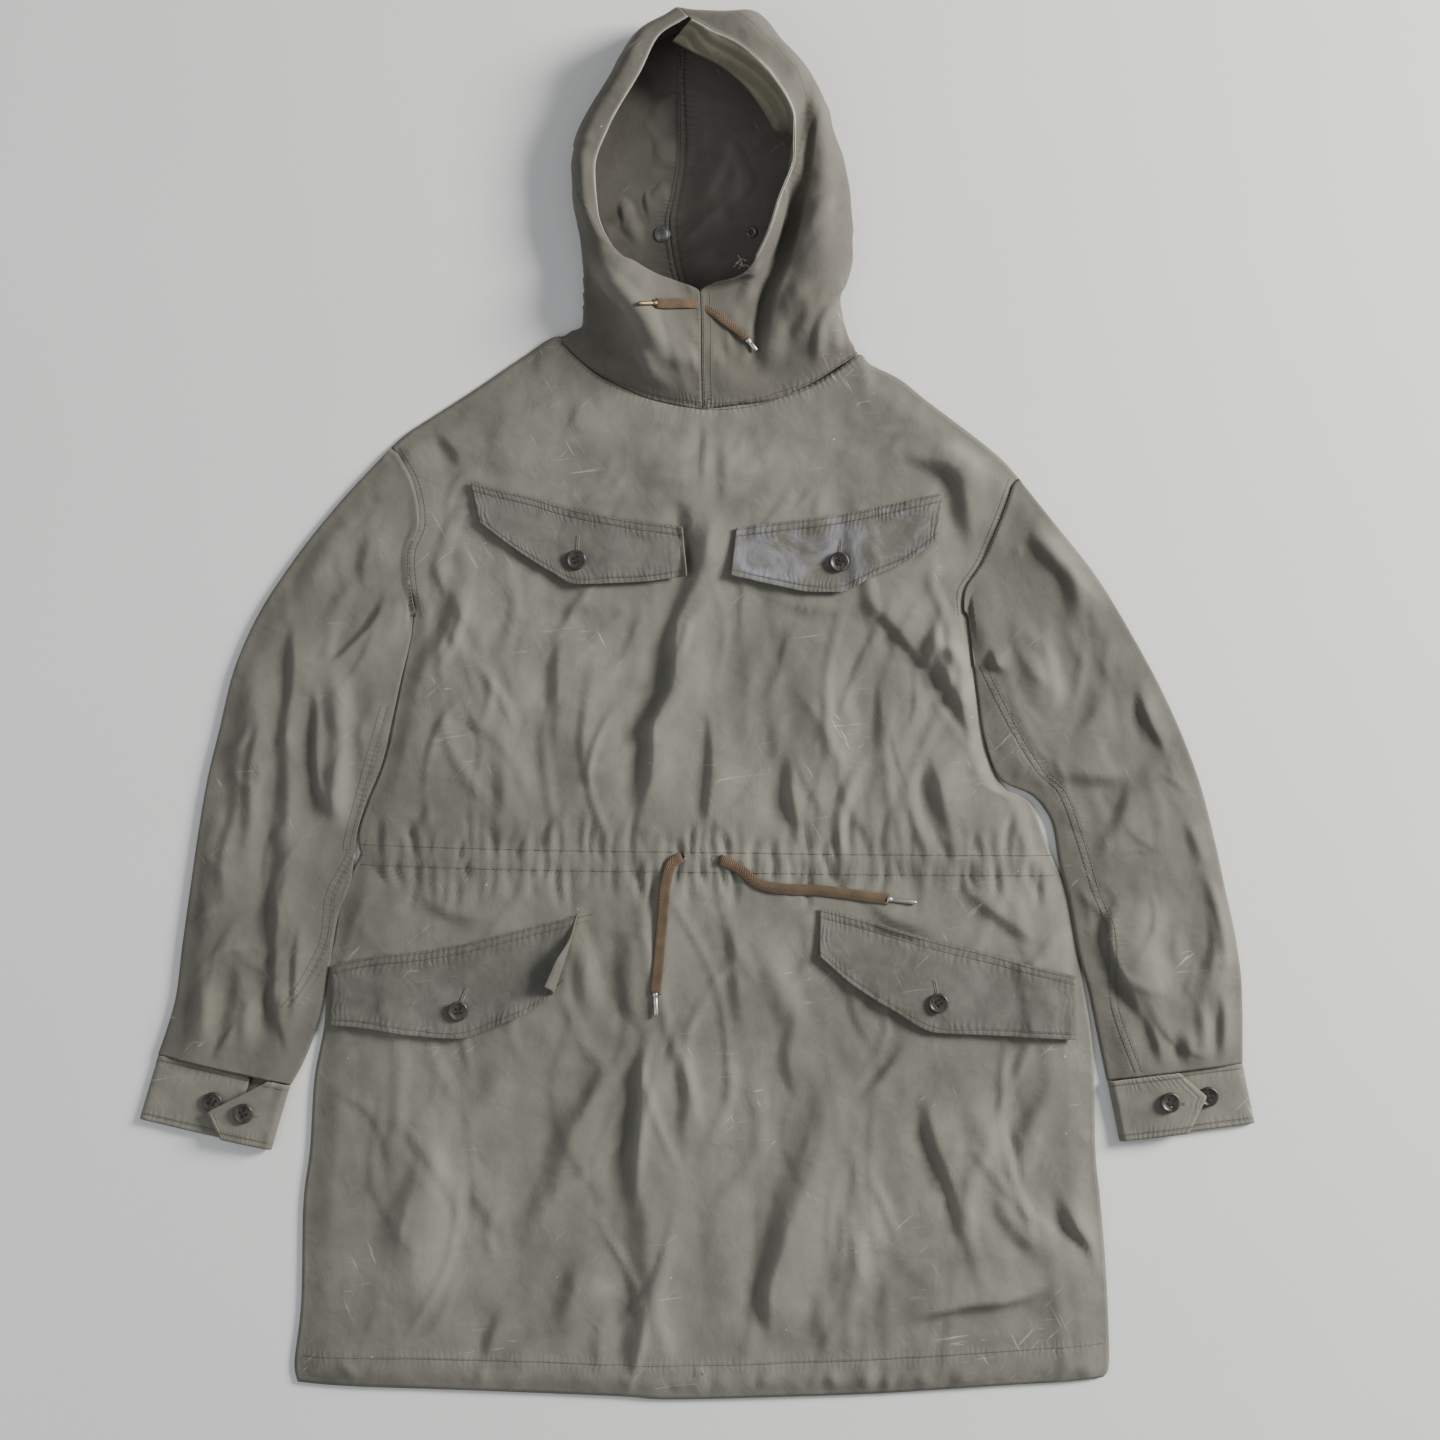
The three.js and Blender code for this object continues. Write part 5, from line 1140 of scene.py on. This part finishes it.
def makeFlap(name, spec, seed):
    made = {}

    def place(a, b):
        sewn, free = betweenPlaces(spec["sewn"], a), betweenPlaces(spec["free"], a)
        flat = sewn * (1 - b[:, None]) + free * b[:, None]
        x, y = flat[:, 0], flat[:, 1]
        ground = np.array([heightOn(frontTree, x[k], y[k], 9) for k in range(len(x))])
        swell = swellOf(x, y, flapCut["swell"], seed)
        edge = smooth(b / 0.2)
        z = ground + flapCut["clear"] + 0.8 + spec["lift"] * b ** 2 + np.maximum(-0.3, swell) * edge
        if "curl" in spec:
            # the right end is rolled back on itself, more so towards its free corner
            turned = np.clip((a - spec["curl"]) / (1 - spec["curl"]), 0, 1)
            angle = turned * (0.7 + 2.0 * smooth(b / 0.7))
            radius = (1 - spec["curl"]) * flapCut["rollWidth"] / flapCut["rollTurn"]
            flat[:, 0] += radius * np.sin(angle) - turned * radius * flapCut["rollTurn"]
            z += radius * 0.8 * (1 - np.cos(angle))
        made["fold"] = np.clip(swell / 2, -1, 1)
        deep = np.linalg.norm(free - sewn, axis=1)
        fromFree = np.minimum((1 - b) * deep, np.minimum(a, 1 - a) * flapCut["sideWidth"])
        fromSewn = b * deep
        away = np.minimum.reduce([np.abs(fromFree - flapCut["stitch"]), fromSewn,
                                  np.abs(fromSewn - flapCut["sewnStitch"])])
        made["seam"] = np.stack([a * flapCut["seamLength"], away * mm, np.full(len(a), 0.55)], -1)
        return np.column_stack([flat, z])

    piece, *_ = gridPiece(name + "_cloth", flapCut["columns"], flapCut["rows"], place)
    setAttribute(piece, "fold", made["fold"])
    setAttribute(piece, "seam", made["seam"])
    wall(piece, flapCut["wall"])
    rounding = piece.modifiers.new("turned edge", "BEVEL")
    rounding.width = 0.5 * mm
    rounding.segments = 2
    rounding.limit_method = "ANGLE"
    finishPiece(piece, spec["material"], "flap_poplin", name)
    return piece


flapPieces = [makeFlap(name, spec, 50 + 3 * k) for k, (name, spec) in enumerate(flaps.items())]
flapTree = treeOf(*flapPieces)
print("flaps made")


# cuffs

cuffCut = {
    "columns": 110, "rows": 26, "wall": 1.5, "under": 5.6, "over": 9.6, "bridge": 11.8, "point": 12,
    "swell": [(0.6, (26, 18)), (0.25, (11, 9))], "deep": 58, "length": 400,
}
cuffs = {  # ends of the sleeve seam, the way down to the bottom edge, and the shape of the pointed end
    "cuff_left": {"start": (-486, -312), "finish": (-366, -340), "down": (-17, -58),
                  "tipAcross": 0.475, "tipDown": 0.65, "upperCorner": 0.84, "lowerCorner": 0.63},
    "cuff_right": {"start": (493, -320), "finish": (370, -336), "down": (11, -54),
                   "tipAcross": 0.316, "tipDown": 0.44, "upperCorner": 0.48, "lowerCorner": 0.5},
}


def makeCuff(name, spec, seed):
    made = {}
    start, finish, down = (np.array(spec[key], float) for key in ("start", "finish", "down"))
    under, over, bridge, point = (cuffCut[key] for key in ("under", "over", "bridge", "point"))

    def place(a, b):
        # how far across the pointed end reaches at each height
        tip, upper, lower = spec["tipAcross"], spec["upperCorner"], spec["lowerCorner"]
        tipDown = spec["tipDown"]
        reach = np.where(b < tipDown, upper + (tip - upper) * b / tipDown,
                         tip + (lower - tip) * (b - tipDown) / (1 - tipDown))
        # the strip starts on top of the sleeve end, goes round its outer edge, under it, round its inner
        # edge and back over the top to its point
        across = [0.7, 0.35, 0.05, 0.003, 0.05, 0.35, 0.65, 0.95, 0.998, 0.95, 0.9]
        heights = [under, under, 5.2, 2.6, 0, 0, 0, 0, 4.6, 9.3, over, bridge, point]
        u = np.zeros(len(a))
        for k in range(len(a)):
            stations = across + [(0.9 + reach[k]) / 2, reach[k]]
            u[k] = between(stations, a[k:k + 1])[0]
        z = between(heights, a)
        flat = start + (finish - start) * u[:, None] + down * b[:, None]
        x, y = flat[:, 0], flat[:, 1]
        shown = smooth((z - 3) / 3)
        swell = shown * swellOf(x, y, cuffCut["swell"], seed)
        made["fold"] = np.clip(swell, -1, 1)
        fromEdge = np.minimum(b, 1 - b) * cuffCut["deep"]
        away = np.minimum(np.abs(fromEdge - 5), np.abs((1 - a) * cuffCut["length"] - 6))
        made["seam"] = np.stack([a * cuffCut["length"] * mm, away * mm, np.full(len(a), 0.45)], -1)
        flat[:, 1] -= 0.35
        return np.column_stack([flat, np.maximum(0, z + swell)])

    piece, *_ = gridPiece(name + "_band", cuffCut["columns"], cuffCut["rows"], place)
    mesh = piece.data
    top = max(mesh.polygons, key=lambda face: face.center.z)
    if top.normal.z < 0:
        mesh.flip_normals()
    setAttribute(piece, "fold", made["fold"])
    setAttribute(piece, "seam", made["seam"])
    wall(piece, cuffCut["wall"])
    finishPiece(piece, poplin, "poplin", name)
    return piece


cuffPieces = [makeCuff(name, spec, 70 + 3 * k) for k, (name, spec) in enumerate(cuffs.items())]
cuffTree = treeOf(*cuffPieces)
allTree = treeOf(front, sleeveLeft, sleeveRight, hoodLeft[0], hoodRight[0], *flapPieces, *cuffPieces)
print("cuffs made")


# laces

lace = {"width": 9.0, "thick": 1.7, "around": 12, "step": 4, "clear": 0.25, "sunk": 3.6, "tagRadius": 2.0}
laces = {  # course of each flat lace, how many of its first points lie inside the tunnel, and its tag's tip
    "waist_left": {"course": [(-13, -134), (-22, -140), (-28, -160), (-31, -194), (-34, -228), (-37, -257)],
                   "tip": (-36, -277), "hidden": 0, "metal": silverTag, "wide": 1.12, "tree": "front"},
    "waist_right": {"course": [(20, -136), (37, -144), (57, -159), (82, -163), (109, -164), (141, -168),
                               (173, -172)],
                    "tip": (198, -175), "hidden": 0, "metal": silverTag, "wide": 1.12, "tree": "front"},
    "hood_left": {"course": [(18, 362), (8, 361), (-4, 360), (-17, 359), (-26, 358), (-36, 358)],
                  "tip": (-51, 356), "hidden": 2, "metal": bronzeTag, "wide": 1.0, "tree": "hood"},
    "hood_right": {"course": [(-8, 364), (0, 360), (14, 353), (24, 346), (36, 338), (46, 329)],
                   "tip": (54, 320), "hidden": 2, "metal": silverTag, "wide": 0.8, "tree": "hood"},
}


def makeLace(name, spec):
    tree = frontTree if spec["tree"] == "front" else hoodTree
    whole = lineLength(curvePlaces(spec["course"], np.linspace(0, 1, 60)))
    steps = max(16, int(whole / lace["step"]))
    plan = curvePlaces(spec["course"], np.linspace(0, 1, steps + 1))
    share = spec["hidden"] / (len(spec["course"]) - 1)
    heights = []
    for k, (x, y) in enumerate(plan):
        top = heightOn(tree, x, y, 3) + lace["thick"] / 2 + lace["clear"]
        heights.append(top - (lace["sunk"] if k / steps < share * 0.8 else 0))
    heights = np.convolve(np.pad(heights, 2, mode="edge"), np.ones(5) / 5, mode="valid")
    line = np.column_stack([plan, heights])
    ahead = np.gradient(line, axis=0)
    ahead /= np.linalg.norm(ahead, axis=1)[:, None]
    aside = np.cross(ahead, (0, 0, 1))
    aside /= np.linalg.norm(aside, axis=1)[:, None]
    above = np.cross(aside, ahead)

    def place(a, b):
        k = np.round(b * steps).astype(int)
        turn = 2 * math.pi * a
        wide = spec["wide"] * lace["width"] / 2 * np.sign(np.cos(turn)) * np.abs(np.cos(turn)) ** 0.7
        thick = lace["thick"] / 2 * np.sin(turn)
        return line[k] + aside[k] * wide[:, None] + above[k] * thick[:, None]

    piece, *_ = gridPiece(f"lace_{name}_braid", lace["around"], steps, place, closed=True)
    bm = bmesh.new()
    bm.from_mesh(piece.data)
    bmesh.ops.holes_fill(bm, edges=[edge for edge in bm.edges if edge.is_boundary], sides=0)
    layer = bm.loops.layers.uv.new("UVMap")
    for face in bm.faces:
        for loop in face.loops:
            spot = np.array(loop.vert.co) / mm
            k = int(np.argmin(((line - spot) ** 2).sum(1)))
            offset = float(np.dot(spot - line[k], aside[k]))
            loop[layer].uv = (k / steps * whole * mm, offset * mm)
    bm.to_mesh(piece.data)
    bm.free()
    # the tag is a rolled metal sleeve, pinched where it grips the lace
    last = line[-1]
    tipZ = max(heightOn(tree, *spec["tip"], 3) + lace["tagRadius"] + 0.2, last[2] - 3)
    tip = np.array([*spec["tip"], tipZ])
    size = float(np.linalg.norm(tip - last))
    tagPiece = spinPiece(f"tag_{name}_metal", [
        (0, -1.5), (2.3, -1.5), (2.5, 0), (2.2, 2), (1.5, 3), (2.0, 4), (1.9, size - 3), (1.6, size - 1),
        (1.1, size), (0, size)], 14)
    turn = Vector(tip - last).to_track_quat("Z", "Y").to_matrix().to_4x4()
    placeMesh(tagPiece, Matrix.Translation(Vector(last)) @ turn @ Matrix.Diagonal((1, 0.8, 1, 1)))
    finishPiece(piece, braid, "lace_braid", f"lace_{name}")
    finishPiece(tagPiece, spec["metal"], "steel", f"tag_{name}")


for name, spec in laces.items():
    makeLace(name, spec)
print("laces made")


# buttons and snaps

buttonCut = {"radius": 9.0, "height": 3.2, "hole": 0.95, "spread": 1.9}
buttons = {  # place, turn in degrees, tilt in degrees
    "button_chest_left": {"at": (-108, 133), "turn": 20, "tilt": (2, -3), "tree": flapTree},
    "button_chest_right": {"at": (128, 131), "turn": -30, "tilt": (-2, 2), "tree": flapTree},
    "button_lower_left": {"at": (-214, -272), "turn": 5, "tilt": (3, 2), "tree": flapTree},
    "button_lower_right": {"at": (217, -265), "turn": 40, "tilt": (-2, -2), "tree": flapTree},
    "button_cuff_left": {"at": (-407, -364), "turn": 30, "tilt": (2, 2), "tree": cuffTree},
    "button_cuff_right": {"at": (425, -354), "turn": -15, "tilt": (-2, 3), "tree": cuffTree},
    "button_spare_left": {"at": (-436, -355), "turn": 60, "tilt": (0, 0), "tree": None},
    "button_spare_right": {"at": (461, -350), "turn": 10, "tilt": (0, 0), "tree": None},
}


def drilledButton():
    # a dished disc with a rolled rim and four holes, in mm at the origin
    radius, height = buttonCut["radius"], buttonCut["height"]
    disc = spinPiece("button blank", [
        (0, 0.3), (radius - 2.2, 0.2), (radius - 0.8, 0.5), (radius, 1.3), (radius + 0.05, 2.0),
        (radius - 0.4, height - 0.35), (radius - 1.2, height), (radius - 2.1, height - 0.25),
        (radius - 2.8, height - 0.9), (radius - 4, height - 1.15), (0, height - 1.2)], 48)
    drill = bmesh.new()
    spread = buttonCut["spread"]
    for x, y in ((spread, spread), (-spread, spread), (spread, -spread), (-spread, -spread)):
        addRod(drill, 12, buttonCut["hole"], 12, Matrix.Translation((x, y, 1)))
    cutter = addObject("drill", drill)
    cut = disc.modifiers.new("holes", "BOOLEAN")
    cut.object = cutter
    cut.operation = "DIFFERENCE"
    done = bpy.data.meshes.new_from_object(disc.evaluated_get(bpy.context.evaluated_depsgraph_get()))
    bpy.data.objects.remove(disc)
    bpy.data.objects.remove(cutter)
    return done


def makeButton(name, spec, blank):
    x, y = spec["at"]
    ground = cuffCut["under"] if spec["tree"] is None else heightOn(spec["tree"], x, y, 7)
    tilt = Matrix.Rotation(math.radians(spec["tilt"][0]), 4, "X") @ Matrix.Rotation(
        math.radians(spec["tilt"][1]), 4, "Y")
    stand = Matrix.Scale(mm, 4) @ Matrix.Translation((x, y, ground + 0.3)) @ tilt @ Matrix.Rotation(
        math.radians(spec["turn"]), 4, "Z")
    mesh = blank.copy()
    mesh.name = name + "_horn"
    mesh.transform(stand)
    finishPiece(addObject(mesh.name, mesh), horn, "button_horn", name)
    # thread: two pairs of strands side by side, and a plug of thread in each hole
    bm = bmesh.new()
    spread = buttonCut["spread"]
    for side in (-1, 1):
        for k in (-0.35, 0.35):
            lay = Matrix.Translation((0, side * spread + k, 2.35)) @ Matrix.Rotation(math.pi / 2, 4, "Y")
            addRod(bm, 6, 0.36, 2 * spread + 0.6, lay)
        for along in (-1, 1):
            addRod(bm, 6, 0.6, 2.2, Matrix.Translation((along * spread, side * spread, 1.2)))
    sewn = addObject(name + "_thread", bm)
    sewn.data.transform(stand)
    finishPiece(sewn, darkThread, "poplin")


buttonBlank = drilledButton()
for name, spec in buttons.items():
    makeButton(name, spec, buttonBlank)

snapCap = spinPiece("snap_cap_metal", [
    (0, 0), (7, 0), (7.4, 0.5), (7, 1.0), (6.2, 1.1), (5.8, 0.9), (5.2, 1.3), (3.4, 2.0), (0, 2.3)], 36)
placeMesh(snapCap, Matrix.Translation((-31, 428, heightOn(hoodTree, -31, 428, 6, 2) + 0.2)))
finishPiece(snapCap, snapMetal, "steel", "snap_cap")
snapSocket = spinPiece("snap_socket_metal", [
    (1.9, 0), (5, 0), (5.3, 0.5), (4.8, 1.2), (3.6, 1.5), (2.4, 1.3), (1.9, 0.7), (1.9, 0)], 32)
placeMesh(snapSocket, Matrix.Translation((50, 430, heightOn(hoodTree, 50, 430, 4, 2) + 0.2)))
finishPiece(snapSocket, snapMetal, "steel", "snap_socket")
print("buttons and snaps made")


# stitches

stitchCut = {"pitch": 3.3, "length": 2.5, "radius": 0.3, "lift": 0.12, "jump": 3}


def layStrand(bm, start, end, radius):
    # a short straight piece of thread between two places in mm
    way = Vector(end) - Vector(start)
    middle = (Vector(start) + Vector(end)) / 2
    lay = Matrix.Scale(mm, 4) @ Matrix.Translation(middle) @ way.to_track_quat("Z", "Y").to_matrix().to_4x4()
    addRod(bm, 5, radius, way.length, lay)


def stitchRows(name, rows, tree):
    # rows of machine stitches; one is left out where the cloth under it jumps or ends
    bm = bmesh.new()
    for course in rows:
        size = lineLength(curvePlaces(course, np.linspace(0, 1, 60)))
        count = int(size / stitchCut["pitch"])
        mids = curvePlaces(course, (np.arange(count) + 0.5) / count)
        ends = curvePlaces(course, (np.arange(count) + 0.5) / count + 0.5 * stitchCut["length"] / size)
        for (x, y), (ex, ey) in zip(mids, ends):
            z = heightOn(tree, x, y, 0, None)
            ze = heightOn(tree, ex, ey, 0, None)
            if z is None or ze is None or abs(ze - z) > stitchCut["jump"]:
                continue
            way = Vector((ex - x, ey - y, ze - z)).to_track_quat("Z", "Y").to_matrix().to_4x4()
            lay = Matrix.Scale(mm, 4) @ Matrix.Translation((x, y, z + stitchCut["lift"])) @ way
            addRod(bm, 4, stitchCut["radius"], stitchCut["length"], lay)
    finishPiece(addObject(name, bm), thread, "poplin")


def insideEdge(sewn, free, far):
    # a line at a distance from the sewn edge towards the free edge
    a, b = np.array(sewn, float), np.array(free, float)
    size = np.linalg.norm(b - a, axis=1)[:, None]
    return [tuple(p) for p in a + (b - a) * far / size]


stitchRows("stitches_body", [
    frontSeams[5][0], frontSeams[3][0], frontSeams[4][0],
    shifted(edges["armholeLeft"], 3, 0), shifted(edges["armholeLeft"], 9, 0),
    shifted(edges["armholeRight"], -3, 0), shifted(edges["armholeRight"], -9, 0),
    shifted(edges["neck"], 0, -3),
], allTree)
stitchRows("stitches_sleeves", [
    shifted(leftSleeve["seam"], -1, 0), shifted(leftSleeve["seam"], -7, 0),
    shifted(rightSleeve["seam"], 1, 0), shifted(rightSleeve["seam"], 7, 0),
], allTree)
flapRows = []
for spec in flaps.values():
    flapRows += [insideEdge(spec["sewn"], spec["free"], 2),
                 insideEdge(spec["sewn"], spec["free"], flapCut["sewnStitch"]),
                 insideEdge(spec["free"], spec["sewn"], flapCut["stitch"])]
stitchRows("stitches_flaps", flapRows, allTree)
cuffRows = []
for spec in cuffs.values():
    start, finish, down = (np.array(spec[key], float) for key in ("start", "finish", "down"))
    for depth in (0.08, 0.9):
        cuffRows.append([tuple(start + (finish - start) * u + down * depth) for u in (0.03, 0.5, 0.97)])
stitchRows("stitches_cuffs", cuffRows, allTree)
stitchRows("stitches_hood", [
    [(8, 272), (7, 308), (7, 342), (6, 368)], [(14, 273), (13, 308), (13, 342), (12, 372)],
    shifted(edges["neck"], 0, 3),
], allTree)

workedCut = {"strands": 26, "slitStep": 0.75, "slitHalf": 1.5, "thread": 0.38}
workedEyelets = {  # place and the radii of the hole and of the sewn ring
    "waist left": ((-12, -134), 1.6, 4.4),
    "waist right": ((18, -136.5), 1.6, 4.4),
    "hood left": ((-3, 361), 1.2, 3.2),
    "hood right": ((13, 354), 1.2, 3.2),
    "hem": ((6.8, -597.6), 0.9, 2.4),
}
workedSlits = [  # ends of each worked buttonhole
    ((-206, -252), (-216, -275)), ((214, -244), (218, -268)), ((-106, 155), (-108, 131)),
    ((130, 152), (128, 129)), ((-417, -364), (-392, -366)), ((414, -354), (440, -355)),
]


def makeWorkedHoles():
    # eyelets and buttonholes sewn over with close strands of twist
    bm = bmesh.new()
    for (x, y), hole, ring in workedEyelets.values():
        for k in range(workedCut["strands"]):
            turn = 2 * math.pi * k / workedCut["strands"]
            way = np.array([math.cos(turn), math.sin(turn)])
            inner, outer = np.array([x, y]) + way * hole, np.array([x, y]) + way * ring
            height = heightOn(allTree, *outer)
            layStrand(bm, (*inner, height + 0.3), (*outer, height + 0.15), workedCut["thread"])
    for start, end in workedSlits:
        start, end = np.array(start, float), np.array(end, float)
        size = np.linalg.norm(end - start)
        along = (end - start) / size
        across = np.array([-along[1], along[0]])
        for k in range(int(size / workedCut["slitStep"])):
            middle = start + along * (k + 0.5) * workedCut["slitStep"]
            height = heightOn(allTree, *middle) + 0.2
            for side in (-1, 1):
                inner, outer = middle + across * side * 0.25, middle + across * side * workedCut["slitHalf"]
                layStrand(bm, (*inner, height + 0.15), (*outer, height), workedCut["thread"])
    finishPiece(addObject("worked_holes", bm), twist, "poplin")


looseThread = [
    [(33, 398), (37, 402), (40, 406), (45, 404)], [(36, 404), (40, 400), (44, 401), (48, 398)],
    [(35, 401), (39, 404), (42, 399), (46, 400)], [(38, 397), (41, 401), (40, 406), (37, 409)],
]


def makeLooseThread():
    # the small tuft of white thread that lies inside the hood
    bm = bmesh.new()
    chance = random.Random(9)
    for course in looseThread:
        line = curvePlaces(course, np.linspace(0, 1, 10))
        heights = [heightOn(hoodTree, x, y) + chance.uniform(0.4, 1.6) for x, y in line]
        for k in range(9):
            layStrand(bm, (*line[k], heights[k]), (*line[k + 1], heights[k + 1]), 0.3)
    finishPiece(addObject("loose_thread", bm), paleThread, "poplin")


makeWorkedHoles()
makeLooseThread()
print("stitches made")


# camera, floor and light

view = {"centre": (0.02115, -0.0108), "height": 1.808, "lens": 50, "sensor": 36}  # metres, and mm
cameraData = bpy.data.cameras.new("overhead camera")
cameraData.lens = view["lens"]
cameraData.sensor_width = view["sensor"]
camera = addObject("overhead camera", cameraData)
camera.location = (*view["centre"], view["height"])
bpy.context.scene.camera = camera


def floorMaterial():
    # Matt painted board, pale and plain
    made, tree = newMaterial("pale matt board")
    place = addNode(tree, "ShaderNodeTexCoord").outputs["Object"]
    grit = addNode(tree, "ShaderNodeTexNoise", inputs={"Vector": place, "Scale": 4.0, "Detail": 3.0})
    tone = addNode(tree, "ShaderNodeValToRGB", inputs={"Fac": grit},
                   stops=[(0.0, "#E6E5E2"), (1.0, "#EBEAE8")])
    shader = addNode(tree, "ShaderNodeBsdfPrincipled", inputs={"Base Color": tone, "Roughness": 0.9})
    addNode(tree, "ShaderNodeOutputMaterial", inputs={"Surface": shader})
    return made


floorMesh = bmesh.new()
bmesh.ops.create_grid(floorMesh, x_segments=1, y_segments=1, size=4)
bmesh.ops.translate(floorMesh, vec=(0, 0, -0.0003), verts=floorMesh.verts)
floor = addObject("floor", floorMesh)
floor.data.materials.append(floorMaterial())


def areaLight(name, at, aim, size, power, colour):
    data = bpy.data.lights.new(name, "AREA")
    data.size = size
    data.energy = power
    data.color = hexColour(colour)[:3]
    lamp = addObject(name, data)
    lamp.location = at
    lamp.rotation_euler = (Vector(aim) - Vector(at)).to_track_quat("-Z", "Y").to_euler()


areaLight("window on the right", (3.3, 1.3, 1.52), (0, 0, 0), 1.2, 326, "#FFFEFB")
areaLight("soft fill on the left", (-2.2, -0.6, 2.0), (0, 0, 0), 2.4, 24, "#F4F7FF")
world = bpy.data.worlds.new("studio air")
bpy.context.scene.world = world
world.use_nodes = True
air = world.node_tree.nodes["Background"].inputs
air["Color"].default_value = hexColour("#E8ECEF")
air["Strength"].default_value = 0.37
print("stage lit")
